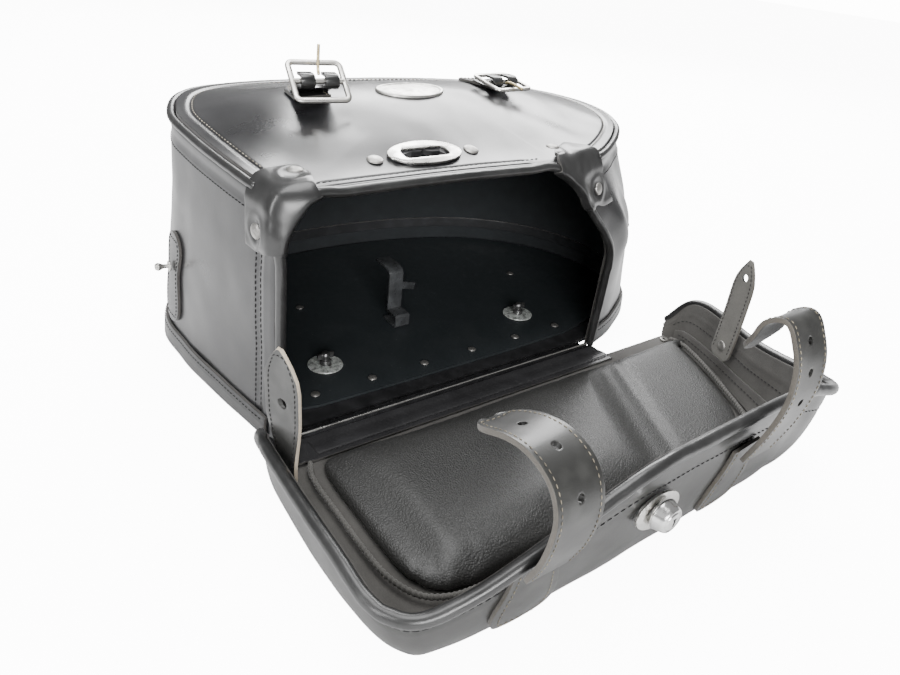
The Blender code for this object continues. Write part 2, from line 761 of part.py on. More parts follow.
def make_lock(lid_pivot):
    """Key lock on the lid: a plate outside, and a turning core whose tongue enters the slot."""
    y = lid_outer(LOCK_X, 64)
    pivot = axis_empty("axis_lock", (LOCK_X, y, 64), lid_pivot)
    base = plate("lock_base", ellipse(19, 12, 24), 2.0, nickel(), holes=[ellipse(4.6, 4.6, 14)],
                 at=(LOCK_X, y - 3.6, 64), turn=(85, 0, 0))
    hang(base, lid_pivot)
    knob = [(0, 11.5), (5.5, 10.6), (9.0, 7.2), (10.4, 2.0), (10.4, 1.6), (3.6, 1.6), (3.6, -12.2),
            (0, -12.2)]
    core = turned("lock_knob", knob, nickel(), at=(LOCK_X, y - 5.0, 64), turn=(90, 0, 0), steps=16)
    hang(core, pivot)
    tongue = box("lock_tongue", (26, 7, 5.5), nickel(), at=(LOCK_X, y + 7.5 + 3.5, 64))
    hang(tongue, pivot)


TABS = {
    "left": {"at": (-203.2, -130.0, 35.0), "turn": 90.0, "inwards": 1, "fold": 23.0, "hole": 47.0},
    "right": {"at": (208.5, -174.0, 38.0), "turn": 70.0, "inwards": -1, "fold": 15.0, "hole": 70.0},
}


def make_tabs(lid_pivot):
    """Each end of the lid has a tab, riveted inside its gusset, that buttons on a side stud.

    The tab's foot swivels on its rivet. Its free part folds outwards where it leaves the gusset.
    """
    for side, tab in TABS.items():
        at, turn, inwards, fold = tab["at"], tab["turn"], tab["inwards"], tab["fold"]
        face = leather() if side == "left" else suede()
        swivel = axis_empty(f"axis_swivel_{side}", at, lid_pivot)
        foot = [(-11, -12), (11, -12), (15, -8), (15, fold - 0.3), (-15, fold - 0.3), (-15, -8)]
        free = [(-15, fold + 0.3), (15, fold + 0.3), (15, 62), (9, 78), (0, 86), (-9, 78), (-15, 62)]
        hang(plate(f"tab_base_{side}", foot, 2.4, face, at=at, turn=(90, 0, turn)), swivel)
        heading = math.radians(turn - 90)
        way = (inwards * math.cos(heading), inwards * math.sin(heading))
        crease = (at[0] - 1.2 * way[0], at[1] - 1.2 * way[1], at[2] + fold)
        pivot = axis_empty(f"axis_fold_{side}", crease, swivel)
        hole = ellipse(3.8, 3.8, 14, centre=(0, tab["hole"]))
        hang(plate(f"tab_{side}", free, 2.4, face, holes=[hole], at=at, turn=(90, 0, turn)), pivot)
        rivet_at = (at[0] + 1.7 * way[0], at[1] + 1.7 * way[1], at[2])
        rivet = turned(f"tab_rivet_{side}", dome(5.5, 2.0), pewter(), at=rivet_at,
                       turn=(0, 90 * inwards, turn - 90), steps=10)
        hang(rivet, swivel)


def make_eyelets(lid_pivot):
    for side, at in (("left", (-189, -106, 4.2)), ("right", (221, -105, 4.2))):
        ring = turned(f"lid_eyelet_{side}", [(1.8, 1.2), (4.4, 1.2), (4.4, 0), (1.8, 0),
                                             (1.8, 1.2)], nickel(), at=at, steps=12)
        hang(ring, lid_pivot)


def build():
    clear_scene()
    scene = bpy.context.scene.collection
    for name in ("Saddlebag", "Cutters"):
        scene.children.link(bpy.data.collections.new(name))
    make_back()
    make_board_rivets()
    make_studs()
    make_latch_bracket()
    make_wall()
    make_front_panel()
    make_edges()
    make_corner_caps()
    make_front_trim()
    for side, values in BUCKLES.items():
        make_buckle(side, **values)
    make_side_hardware()
    lid_pivot = axis_empty("axis_lid", (0, *HINGE))
    make_lid(lid_pivot)
    make_straps(lid_pivot)
    make_lock(lid_pivot)
    make_tabs(lid_pivot)
    make_eyelets(lid_pivot)


build()
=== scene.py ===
import math

import bmesh
import bpy
import numpy as np
from mathutils import Matrix, Vector, noise


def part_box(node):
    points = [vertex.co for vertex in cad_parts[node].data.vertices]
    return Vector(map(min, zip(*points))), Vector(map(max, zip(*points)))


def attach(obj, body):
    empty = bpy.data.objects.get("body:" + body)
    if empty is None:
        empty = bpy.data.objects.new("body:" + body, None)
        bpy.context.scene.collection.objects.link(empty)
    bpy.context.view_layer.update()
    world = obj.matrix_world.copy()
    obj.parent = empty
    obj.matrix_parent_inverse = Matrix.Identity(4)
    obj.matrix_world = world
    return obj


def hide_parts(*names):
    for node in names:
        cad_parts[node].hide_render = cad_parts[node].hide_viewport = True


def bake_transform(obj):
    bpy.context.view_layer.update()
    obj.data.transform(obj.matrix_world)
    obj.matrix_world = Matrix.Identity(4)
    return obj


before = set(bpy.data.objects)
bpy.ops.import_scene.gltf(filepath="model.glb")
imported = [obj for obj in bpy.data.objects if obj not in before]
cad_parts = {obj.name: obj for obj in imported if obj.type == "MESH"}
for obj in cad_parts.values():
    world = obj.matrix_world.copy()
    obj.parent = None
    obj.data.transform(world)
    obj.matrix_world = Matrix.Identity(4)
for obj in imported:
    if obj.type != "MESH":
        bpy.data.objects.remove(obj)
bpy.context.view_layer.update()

MM = 0.001

# ---------------------------------------------------------------- studio
# A pale floor under one broad overhead panel, with a bright card behind the bag, a narrow one to the
# left and a low one in front. The camera stands at the left front, looking down into the open mouth.


def add_object(name, data):
    obj = bpy.data.objects.new(name, data)
    bpy.context.scene.collection.objects.link(obj)
    return obj


camera_data = bpy.data.cameras.new("camera")
camera_data.lens = 27.6
camera_data.sensor_width = 36.0
camera = add_object("camera", camera_data)
ahead = Vector((0.5439, 0.6717, -0.5030)).normalized()
sideways = Vector((0.8098, -0.5766, 0.1053))
sideways = (sideways - ahead * sideways.dot(ahead)).normalized()
upwards = sideways.cross(ahead)
camera.matrix_world = Matrix.Translation((-0.343, -0.454, 0.340)) @ Matrix(
    (sideways, upwards, -ahead)).transposed().to_4x4()
bpy.context.scene.camera = camera

world = bpy.data.worlds.new("studio")
world.use_nodes = True
world.node_tree.nodes["Background"].inputs["Color"].default_value = (1.0, 1.0, 1.0, 1.0)
WORLD_GLOW = 0.34
BACKDROP_GLOW = 14.0
FLOOR_GLOW = 11.0
FLOOR_HALF = 9
FLOOR_Z = -0.0012


def set_inputs(node, **values):
    """Sets a node's inputs; an underscore in a name stands for a space."""
    for label, value in values.items():
        node.inputs[label.replace("_", " ")].default_value = value
    return node


def seen_only(nodes, links, plain, seen, socket):
    """Gives a socket one strength for all other light and another for what the camera sees."""
    path = nodes.new("ShaderNodeLightPath")
    blend = set_inputs(nodes.new("ShaderNodeMapRange"), To_Min=plain, To_Max=seen)
    links.new(path.outputs["Is Camera Ray"], blend.inputs["Value"])
    links.new(blend.outputs["Result"], socket)


seen_only(world.node_tree.nodes, world.node_tree.links, WORLD_GLOW, BACKDROP_GLOW,
          world.node_tree.nodes["Background"].inputs["Strength"])
bpy.context.scene.world = world


def soft_panel(name, place, size, power, aim=(0.0, 0.0, 0.1)):
    data = bpy.data.lights.new(name, "AREA")
    data.shape = "RECTANGLE"
    data.size, data.size_y = size
    data.energy = power
    lamp = add_object(name, data)
    lamp.location = place
    lamp.rotation_euler = (Vector(aim) - Vector(place)).to_track_quat("-Z", "Y").to_euler()


soft_panel("overhead", (-0.1, 0.1, 1.9), (1.5, 1.1), 42)
soft_panel("behind", (1.25, 1.5, 1.35), (1.6, 1.0), 80)
soft_panel("left_card", (-1.8, -0.2, 1.0), (0.35, 1.4), 22)
soft_panel("front_card", (-0.75, -1.55, 0.75), (0.9, 0.5), 34, (0.0, 0.05, 0.02))


def shade(colour, factor):
    return tuple(c * factor for c in colour)


class Finish:
    """A material being made, with patterns that hang on object coordinates in metres."""

    def __init__(self, name, colour, roughness, metallic=0.0):
        self.made = bpy.data.materials.new(name)
        self.made.use_nodes = True
        self.nodes, self.links = self.made.node_tree.nodes, self.made.node_tree.links
        self.shader = self.nodes["Principled BSDF"]
        set_inputs(self.shader, Base_Color=(*colour, 1.0), Roughness=roughness, Metallic=metallic)
        self.place = self.nodes.new("ShaderNodeTexCoord").outputs["Object"]

    def cloudy(self, scale, detail=3.0, rough=0.55):
        """Soft noise; scale is in features a metre."""
        node = set_inputs(self.nodes.new("ShaderNodeTexNoise"), Scale=scale, Detail=detail,
                          Roughness=rough)
        self.links.new(self.place, node.inputs["Vector"])
        return node.outputs["Fac"]

    def cells(self, scale, smooth=None):
        """Distance from scattered points, scale of them a metre; smooth makes pebbles of them."""
        node = set_inputs(self.nodes.new("ShaderNodeTexVoronoi"), Scale=scale)
        if smooth:
            node.feature = "SMOOTH_F1"
            set_inputs(node, Smoothness=smooth)
        self.links.new(self.place, node.inputs["Vector"])
        return node.outputs["Distance"]

    def ramp(self, value, low, high, start=0.3, end=0.7):
        """Turns a noise value into a colour or a number between low and high."""
        node = self.nodes.new("ShaderNodeValToRGB")
        for stop, position, level in zip(node.color_ramp.elements, (start, end), (low, high)):
            stop.position = position
            stop.color = (*level, 1.0) if hasattr(level, "__len__") else (level, level, level, 1.0)
        self.links.new(value, node.inputs["Fac"])
        return node.outputs["Color"]

    def paint(self, colour, second=None, share=0.0):
        """Wires up the base colour, or a mix of two with this share of the second."""
        if second:
            mixer = self.nodes.new("ShaderNodeMix")
            mixer.data_type = "RGBA"
            set_inputs(mixer, Factor=share)
            self.links.new(colour, mixer.inputs["A"])
            self.links.new(second, mixer.inputs["B"])
            colour = mixer.outputs["Result"]
        self.links.new(colour, self.shader.inputs["Base Color"])

    def dull(self, roughness):
        self.links.new(roughness, self.shader.inputs["Roughness"])

    def coat(self, roughness):
        set_inputs(self.shader, Coat_Weight=0.3, Coat_Roughness=roughness)

    def relief(self, *layers):
        """Adds bump layers (height, depth in mm, strength), each on top of the one before."""
        normal = None
        for height, depth, strength in layers:
            bump = set_inputs(self.nodes.new("ShaderNodeBump"), Distance=depth * MM,
                              Strength=strength)
            self.links.new(height, bump.inputs["Height"])
            if normal:
                self.links.new(normal, bump.inputs["Normal"])
            normal = bump.outputs["Normal"]
        self.links.new(normal, self.shader.inputs["Normal"])


floor_white = Finish("floor_white", (0.93, 0.93, 0.93), 0.6)
floor_white.paint(floor_white.ramp(floor_white.cloudy(3), (0.92, 0.92, 0.92), (0.95, 0.95, 0.95)))
set_inputs(floor_white.shader, Emission_Color=(1.0, 1.0, 1.0, 1.0))
seen_only(floor_white.nodes, floor_white.links, 0.0, FLOOR_GLOW,
          floor_white.shader.inputs["Emission Strength"])
floor_mesh = bpy.data.meshes.new("floor")
floor_mesh.from_pydata([(x * FLOOR_HALF, y * FLOOR_HALF, FLOOR_Z)
                        for x, y in ((-1, -1), (1, -1), (1, 1), (-1, 1))], [], [(0, 1, 2, 3)])
floor_mesh.materials.append(floor_white.made)
add_object("floor", floor_mesh)

# ---------------------------------------------------------------- rigid back
# The back is a painted steel plate lined with a smooth black board. The board is worn and dusty,
# and the steel latch strip stands on it. These keep their CAD solids or a bevelled copy of them, and
# so does the enamelled rail that the lid hangs from.


def smooth_board(name):
    """Black fibre board with dust specks and rubbed streaks."""
    look = Finish(name, (0.029, 0.034, 0.037), 0.36)
    look.paint(look.ramp(look.cells(160), (0.16, 0.16, 0.16), (0.027, 0.032, 0.035), 0.02, 0.07))
    look.dull(look.ramp(look.cloudy(35, 5), 0.3, 0.6))
    look.relief((look.cloudy(220, 4), 0.1, 0.3))
    return look.made


def enamelled_steel(name, colour=(0.014, 0.014, 0.015), gloss=0.3):
    """Black enamel, a little uneven, with rubbed patches."""
    look = Finish(name, colour, gloss)
    look.coat(0.2)
    look.paint(look.ramp(look.cloudy(90, 5), colour, shade(colour, 2.2), 0.4, 0.75))
    look.dull(look.ramp(look.cloudy(60), gloss, gloss + 0.2))
    look.relief((look.cloudy(500, 2), 0.05, 0.3))
    return look.made


def plated(name, colour, gloss, stain=0.75, patch=70, metallic=1.0):
    """Plated metal with hand marks: the plating is duller and darker in patches."""
    look = Finish(name, colour, gloss, metallic)
    clouds = look.cloudy(patch, 5, 0.65)
    look.paint(look.ramp(clouds, shade(colour, stain), colour, 0.36, 0.6))
    look.dull(look.ramp(clouds, min(gloss + 0.25, 0.8), gloss, 0.35, 0.65))
    look.relief((look.cloudy(900, 3), 0.03, 0.35))
    return look.made


def plain_mesh(obj):
    """Makes an object's modifiers into its mesh."""
    bpy.context.view_layer.update()
    made = bpy.data.meshes.new_from_object(
        obj.evaluated_get(bpy.context.evaluated_depsgraph_get()))
    obj.modifiers.clear()
    old = obj.data
    obj.data = made
    if old.users == 0:
        bpy.data.meshes.remove(old)
    return obj


def soft_edges(obj, width, angle):
    """Rounds an object's edges that are sharper than the angle, by a width in millimetres."""
    bevel = obj.modifiers.new("edges", "BEVEL")
    bevel.width = width * MM
    bevel.segments = 2
    bevel.limit_method = "ANGLE"
    bevel.angle_limit = math.radians(angle)


def subdivided(obj, levels):
    fine = obj.modifiers.new("fine", "SUBSURF")
    fine.levels = levels
    fine.render_levels = levels


def refined(name, node, body, finish, edge=0.3, rounding=1):
    """A copy of a CAD solid with rounded edges and a fine surface, riding on its body."""
    shape = bmesh.new()
    shape.from_mesh(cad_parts[node].data)
    bmesh.ops.remove_doubles(shape, verts=shape.verts, dist=2e-6)
    bmesh.ops.dissolve_limit(shape, angle_limit=math.radians(2), verts=shape.verts,
                             edges=shape.edges)
    tris = [f for f in shape.faces if len(f.verts) == 3]
    bmesh.ops.join_triangles(shape, faces=tris, angle_face_threshold=math.radians(40),
                             angle_shape_threshold=math.radians(60))
    mesh = bpy.data.meshes.new(name)
    shape.to_mesh(mesh)
    shape.free()
    mesh.materials.clear()
    mesh.materials.append(finish)
    obj = add_object(name, mesh)
    soft_edges(obj, edge, 40)
    if rounding:
        subdivided(obj, rounding)
    plain_mesh(obj)
    obj.data.shade_smooth()
    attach(obj, body)
    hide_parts(node)
    return obj


def repaint(node, finish):
    """Gives a CAD solid that keeps its own shape its finish."""
    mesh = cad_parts[node].data
    mesh.materials.clear()
    mesh.materials.append(finish)


black_enamel = enamelled_steel("black_enamel")
repaint("back_plate", black_enamel)
repaint("stiffener_board", smooth_board("lining_board"))
refined("latch_strip", "latch_bracket", "bag",
        enamelled_steel("latch_enamel", (0.040, 0.042, 0.044), 0.2),
        edge=0.5, rounding=0)
nickel_plate = plated("nickel_plate", (0.74, 0.73, 0.70), 0.17)
refined("hinge_rail", "edge_channel", "bag", enamelled_steel("rail_enamel", gloss=0.18), edge=0.4,
        rounding=0)

# ---------------------------------------------------------------- mounting studs and board rivets
# Two quarter-turn studs stand in broad mottled zinc washers. Their posts are blackened steel, and
# the board is held by small dull domed rivets.

mottled_zinc = plated("mottled_zinc", (0.86, 0.90, 0.86), 0.24, 0.3, 210, 0.4)
dark_nickel = plated("dark_nickel", (0.42, 0.41, 0.39), 0.28, 0.6, 140, 0.8)
post_steel = plated("post_steel", (0.20, 0.20, 0.20), 0.22, 0.4, 220, 0.8)
for side in ("left", "right"):
    refined(f"stud_washer_{side}", f"bail_washer_{side}", "bag", mottled_zinc, 0.25, 2)
    refined(f"stud_post_{side}", f"bail_stud_{side}", f"stud_{side}", post_steel, 0.3, 1)
for n in range(1, 9):
    refined(f"board_pin_{n:02d}", f"board_rivet_{n:02d}", "bag", dark_nickel, 0.2, 2)

# ---------------------------------------------------------------- side wall
# One long strip of black leather runs round the bag from one side of the mouth to the other, with
# its rough dark side inwards. It stands on the back plate and is sewn to the front panel.

WALL_BACK = [
    (-186, -70), (-198, 0), (-207, 70), (-204, 130), (-165, 190), (-95, 224), (-7, 236),
    (95, 229), (190, 198), (258, 136), (280, 55), (250, -15), (190, -55), (142, -72),
]
WALL_FRONT = [
    (-180, -67, 190), (-188, -10, 194), (-192, 55, 197), (-190, 108, 201), (-164, 158, 204),
    (-105, 186, 204), (-7, 195, 204), (95, 188, 204), (165, 162, 204), (214, 115, 202),
    (228, 60, 200), (205, 5, 196), (135, -48, 192), (77, -68, 190),
]
WALL_STEPS = 320
LEATHER = 3.5
WELT = 3.2
MOUTH_Y = -67.0


def flowing(outlines, count):
    """count + 1 matched points on a Catmull-Rom curve through each outline, evenly spaced."""
    curves = []
    for points in outlines:
        base = np.array(points, float)
        ends = np.vstack([2 * base[0] - base[1], base, 2 * base[-1] - base[-2]])
        fine = []
        for k in range(1, len(ends) - 2):
            p0, p1, p2, p3 = ends[k - 1:k + 3]
            for u in np.linspace(0, 1, 24, endpoint=False):
                fine.append(0.5 * (2 * p1 + (p2 - p0) * u
                                   + (2 * p0 - 5 * p1 + 4 * p2 - p3) * u ** 2
                                   + (3 * p1 - p0 - 3 * p2 + p3) * u ** 3))
        fine.append(base[-1])
        curves.append(np.array(fine))
    steps = sum(np.linalg.norm(np.diff(c, axis=0), axis=1) for c in curves)
    length = np.concatenate([[0], np.cumsum(steps)])
    wanted = np.linspace(0, length[-1], count + 1)
    return [np.stack([np.interp(wanted, length, c[:, k]) for k in range(c.shape[1])], 1)
            for c in curves]


def out_of(line):
    """Level unit vectors pointing out of the bag along an outline."""
    step = np.gradient(line[:, :2], axis=0)
    step /= np.linalg.norm(step, axis=1)[:, None]
    return np.stack([-step[:, 1], step[:, 0]], 1)


def ease(x):
    x = np.clip(x, 0.0, 1.0)
    return x * x * (3 - 2 * x)


def hump(x, centre, width):
    """A smooth ridge, 1 high at its centre."""
    return np.exp(-((x - centre) / width) ** 2)


def lumps(points, scale, seed=0.0):
    """Soft noise from -1 to 1 at points in millimetres; scale is a lump's size."""
    flat = np.asarray(points, float).reshape(-1, 3) / scale + seed
    values = [noise.noise(Vector(p)) for p in flat]
    return np.array(values).reshape(np.asarray(points).shape[:-1])


def facing(grid, closed=False):
    """Unit normals of a grid of points: its step from row to row crossed with that along a row."""
    down = np.gradient(grid, axis=0)
    along = np.gradient(grid, axis=1)
    if closed:
        along = np.roll(grid, -1, axis=1) - np.roll(grid, 1, axis=1)
    normal = np.cross(down, along)
    size = np.linalg.norm(normal, axis=-1, keepdims=True)
    return normal / np.maximum(size, 1e-9)


def grid_quads(rows, columns, closed=False):
    index = np.arange(rows * columns).reshape(rows, columns)
    right = np.roll(index, -1, axis=1) if closed else index[:, 1:]
    left = index if closed else index[:, :-1]
    return np.stack([left[:-1], left[1:], right[1:], right[:-1]], -1).reshape(-1, 4).tolist()


def mesh_of(name, points, faces, finishes):
    mesh = bpy.data.meshes.new(name)
    mesh.from_pydata((np.asarray(points).reshape(-1, 3) * MM).tolist(), [], faces)
    for finish in finishes:
        mesh.materials.append(finish)
    return add_object(name, mesh)


def leather_sheet(name, grid, thickness, finishes, side=-1, edge=0.5, closed=False):
    """A grid of points in millimetres given the leather's thickness and soft cut edges.

    finishes are its face, its other side and its cut edge.
    """
    obj = mesh_of(name, grid, grid_quads(*grid.shape[:2], closed), finishes)
    return thickened(obj, thickness, side, edge, len(finishes))


def thickened(obj, thickness, side, edge, finishes):
    wall = obj.modifiers.new("thickness", "SOLIDIFY")
    wall.thickness = thickness * MM
    wall.offset = side
    wall.material_offset = 1 if finishes > 1 else 0
    wall.material_offset_rim = 2 if finishes > 2 else 0
    if edge:
        soft_edges(obj, edge, 50)
    plain_mesh(obj)
    obj.data.shade_smooth()
    return obj


def grain_leather(name, tone, gloss, grain=1.2, depth=0.10, worn=0.5, rub=1.9):
    """Finished cow leather: pebbled grain, broad uneven gloss, and rubbed greyer patches."""
    look = Finish(name, tone, gloss)
    pebbles = look.cells(1000 / grain, 0.6)
    creases = look.cloudy(150, 6, 0.7)
    broad = look.cloudy(16, 4)
    fine = look.cloudy(60, 2, 0.5)
    look.paint(look.ramp(broad, tone, shade(tone, rub), 0.35, 0.75),
               look.ramp(fine, tone, shade(tone, rub * 1.2), 0.45, 0.8), worn)
    look.dull(look.ramp(broad, gloss - 0.05, gloss + 0.12, 0.3, 0.75))
    look.relief((creases, 0.22, 0.14), (pebbles, depth, 0.5))
    look.coat(0.2)
    return look.made


def rough_leather(name, tone):
    """The flesh side of leather: matt, fibrous and blotchy."""
    look = Finish(name, tone, 0.85)
    set_inputs(look.shader, Sheen_Weight=0.25, Sheen_Roughness=0.5)
    nap = look.cloudy(900, 4, 0.7)
    blotch = look.cloudy(45, 5, 0.6)
    light = shade(tone, 1.35)
    dark = shade(tone, 1 / 1.35)
    look.paint(look.ramp(blotch, dark, light), look.ramp(nap, dark, light), 0.4)
    look.relief((blotch, 0.6, 0.3), (nap, 0.25, 0.6))
    return look.made


body_leather = grain_leather("body_leather", (0.009, 0.009, 0.010), 0.3, 0.9, 0.04)
lining_side = rough_leather("lining_side", (0.019, 0.023, 0.026))
cut_edge = rough_leather("cut_edge", (0.05, 0.047, 0.043))


def wall_grid(shares, start=0, stop=WALL_STEPS, out=0.0):
    """Points of the wall's outer face at these shares of its height."""
    back, front = flowing([WALL_BACK, WALL_FRONT], WALL_STEPS)
    t = np.linspace(0, 1, WALL_STEPS + 1)
    kink = ease((t - 0.75) / 0.25)
    s = np.asarray(shares, float)[:, None]
    share = (1 - kink) * s + kink * ease((s - 0.5) / 0.5)
    plan = back + (front[:, :2] - back) * share[..., None] + out_of(front) * out
    z = front[:, 2] * s
    return np.concatenate([plan, z[..., None]], -1)[:, start:stop + 1]


shares = np.linspace(0.006, 0.966, 64)
wall = wall_grid(shares)
t = np.linspace(0, 1, WALL_STEPS + 1)[None]
s = shares[:, None]
up = facing(wall)
press = -0.9 * hump(s, 0.925, 0.014) * ease((s - 0.5) * 4)
below_seam = 1 - ease((s - 0.8) * 8)
press = press + 0.7 * (hump(t * 1000, 6, 2.2) + hump(t * 1000, 13, 2.4)) * below_seam
press = press - 0.8 * hump(t * 1000, 20, 2.0) * below_seam
sag = 1.6 * lumps(wall, 70.0, 3.1) + 0.5 * lumps(wall, 24.0, 9.7)
fold = 5.0 * hump(t, 0.955, 0.02) * hump(s, 0.62, 0.16)
fold = fold - 4.0 * hump(t, 0.915, 0.018) * hump(s, 0.55, 0.2)
fold = fold - 2.5 * hump(t - 0.12 * (s - 0.5), 0.86, 0.014) * hump(s, 0.7, 0.2)
press = press + sag * np.sin(np.pi * np.clip(s, 0, 1)) + fold
press = press - 2.0 * hump(t, 0.235, 0.05) * hump(s, 0.6, 0.25)
wall_shape = wall + up * press[..., None]
side_wall = leather_sheet("side_wall", wall_shape, LEATHER, [body_leather, lining_side, cut_edge])
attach(side_wall, "bag")
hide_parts("gusset_wall")


def stitch_tree():
    """Nodes that sew a row: each stitch is a short thread laid along the seam it follows."""
    tree = bpy.data.node_groups.new("saddle_stitch", "GeometryNodeTree")
    face = tree.interface
    face.new_socket(name="Seam", in_out="INPUT", socket_type="NodeSocketGeometry")
    sizes = [face.new_socket(name=label, in_out="INPUT", socket_type="NodeSocketFloat")
             for label in ("Pitch", "Length", "Thickness")]
    thread = face.new_socket(name="Thread", in_out="INPUT", socket_type="NodeSocketMaterial")
    face.new_socket(name="Stitches", in_out="OUTPUT", socket_type="NodeSocketGeometry")
    nodes, links = tree.nodes, tree.links
    start = nodes.new("NodeGroupInput")
    seam = nodes.new("GeometryNodeMeshToCurve")
    steps = nodes.new("GeometryNodeResampleCurve")
    steps.mode = "LENGTH"
    strand = set_inputs(nodes.new("GeometryNodeMeshUVSphere"), Segments=6, Rings=5, Radius=0.5)
    size = nodes.new("ShaderNodeCombineXYZ")
    stretch = nodes.new("GeometryNodeTransform")
    way = nodes.new("GeometryNodeInputTangent")
    turn = nodes.new("FunctionNodeAlignRotationToVector")
    turn.axis = "X"
    sewn = nodes.new("GeometryNodeInstanceOnPoints")
    real = nodes.new("GeometryNodeRealizeInstances")
    colour = nodes.new("GeometryNodeSetMaterial")
    end = nodes.new("NodeGroupOutput")
    for source, output, target, socket in (
            (start, "Seam", seam, "Mesh"),
            (seam, "Curve", steps, "Curve"),
            (start, "Pitch", steps, "Length"),
            (start, "Length", size, "X"),
            (start, "Thickness", size, "Y"),
            (start, "Thickness", size, "Z"),
            (strand, "Mesh", stretch, "Geometry"),
            (size, "Vector", stretch, "Scale"),
            (steps, "Curve", sewn, "Points"),
            (stretch, "Geometry", sewn, "Instance"),
            (way, "Tangent", turn, "Vector"),
            (turn, "Rotation", sewn, "Rotation"),
            (sewn, "Instances", real, "Geometry"),
            (real, "Geometry", colour, "Geometry"),
            (start, "Thread", colour, "Material"),
            (colour, "Geometry", end, "Stitches")):
        links.new(source.outputs[output], target.inputs[socket])
    return tree, [socket.identifier for socket in sizes], thread.identifier


STITCHES, STITCH_SIZES, STITCH_THREAD = stitch_tree()


def waxed_thread(name, tone):
    """Twisted waxed thread, soiled in places."""
    look = Finish(name, tone, 0.6)
    look.paint(look.ramp(look.cloudy(60, 4), shade(tone, 0.35), tone, 0.35, 0.6))
    look.relief((look.cloudy(2500, 2), 0.1, 0.6))
    return look.made


black_thread = waxed_thread("black_thread", (0.012, 0.012, 0.012))
cream_thread = waxed_thread("cream_thread", (0.52, 0.47, 0.38))


def sew(name, seams, thread, pitch=4.4, length=3.4, thickness=0.8):
    """Rows of stitches along seams, which are lists of points in millimetres. Nothing rides yet."""
    points = np.concatenate(seams)
    edges = []
    first = 0
    for seam in seams:
        edges += [(first + k, first + k + 1) for k in range(len(seam) - 1)]
        first += len(seam)
    mesh = bpy.data.meshes.new(name)
    mesh.from_pydata((points * MM).tolist(), edges, [])
    obj = add_object(name, mesh)
    sewing = obj.modifiers.new("sewing", "NODES")
    sewing.node_group = STITCHES
    for identifier, value in zip(STITCH_SIZES, (pitch, length, thickness)):
        sewing[identifier] = value * MM
    sewing[STITCH_THREAD] = thread
    plain_mesh(obj)
    obj.data.shade_smooth()
    return obj


HEAVY_STITCH = (3.8, 2.8, 0.7)
STRAP_STITCH = (3.6, 2.5, 0.6)


def on_face(grid, lift=0.25, closed=False):
    """The grid's points lifted off its face."""
    return grid + facing(grid, closed) * lift


lifted = on_face(wall_shape)
upright = range(2, 50)
wall_rows = sew("wall_stitches", [lifted[58, 8:-6], lifted[upright, 6], lifted[upright, 8]],
                black_thread)
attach(wall_rows, "bag")

# ---------------------------------------------------------------- front panel
# A crowned panel of thick leather, pressed at its seams, with the lock's slot cut roughly through
# it. It is sewn to the wall round three sides; its free edge is the top of the mouth.

MOUTH_Z = 190.0
FAR_Y = 195.0
FAR_Z = 204.0
CROWN = 24.0
GAP = 0.4
SLOT = (-48.0, -34.0)
PANEL_MIDDLE = np.array([18.0, 60.0])
PANEL_HALF = 212
DENT = (155, -12, 55)
PRESSED_BY_BUCKLES = ((-96, 22, 26, 2.2), (98, 38, 24, 2.0))


def crown(x, y):
    """Height of the panel's face away from its edges."""
    u = np.minimum(np.abs((x - PANEL_MIDDLE[0]) / PANEL_HALF), 1.0)
    v = np.clip((y - MOUTH_Y) / (FAR_Y - MOUTH_Y), 0.0, 1.0)
    base = MOUTH_Z + (FAR_Z - MOUTH_Z) * v
    dent_x, dent_y, dent_radius = DENT
    dent = 0.65 * np.exp(-((x - dent_x) ** 2 + (y - dent_y) ** 2) / dent_radius ** 2)
    return base + CROWN * (1 - u ** 2.4) ** 0.8 * np.sin(np.pi * v) ** 1.6 * (1 - dent)


def panel_outline(count=330, across=120):
    """The panel's edge inside the welt, then back along the mouth."""
    front = flowing([WALL_BACK, WALL_FRONT], count)[1]
    plan = front[:, :2] - out_of(front) * (WELT + GAP + 0.1)
    plan[:, 1] = np.maximum(plan[:, 1], MOUTH_Y)
    keep = (plan[:, 1] > MOUTH_Y + 0.5) | (np.arange(count + 1) % count == 0)
    around = np.concatenate([plan, front[:, 2:]], 1)[keep]
    share = np.linspace(0, 1, across)[1:-1]
    mouth = around[-1][None] * (1 - share[:, None]) + around[0][None] * share[:, None]
    mouth[:, 1] = MOUTH_Y
    mouth[:, 2] = MOUTH_Z + 2.0 * np.sin(np.pi * share)
    return np.concatenate([around, mouth])


outline = panel_outline()
rings = np.concatenate([np.linspace(1, 0.8, 42), np.linspace(0.8, 0.02, 52)[1:]])[:, None]
arm = outline[None, :, :2] - PANEL_MIDDLE
plan = PANEL_MIDDLE + arm * rings[..., None]
height = crown(plan[..., 0], plan[..., 1])
height = height + (outline[None, :, 2] - height) * rings ** 6
panel = np.concatenate([plan, height[..., None]], -1)
inset = (1 - rings) * np.linalg.norm(arm, axis=-1)
inset = inset + 60 * (outline[None, :, 1] < MOUTH_Y + 0.6)
depth = panel[..., 1] - MOUTH_Y
between = ease((panel[..., 0] + 150) / 12) * ease((42 - panel[..., 0]) / 12)
press = 0.5 * (1 - ease((inset - 6) / 4)) - 0.9 * hump(inset, 10.5, 1.6)
press += between * sum(high * hump(depth, at, wide) for at, wide, high in (
    (2.0, 1.4, 0.8), (6.0, 1.5, 0.9), (4.0, 0.8, -0.6), (9.5, 1.5, 0.7), (13.0, 1.3, -0.8)))
calm = ease(inset / 30) * ease(depth / 35)
press += calm * (1.5 * lumps(panel, 85.0, 5.3) + 0.35 * lumps(panel, 28.0, 1.9))
for at_x, at_y, wide, deep in PRESSED_BY_BUCKLES:
    press -= deep * hump(np.hypot(panel[..., 0] - at_x, panel[..., 1] - at_y), 0, wide)
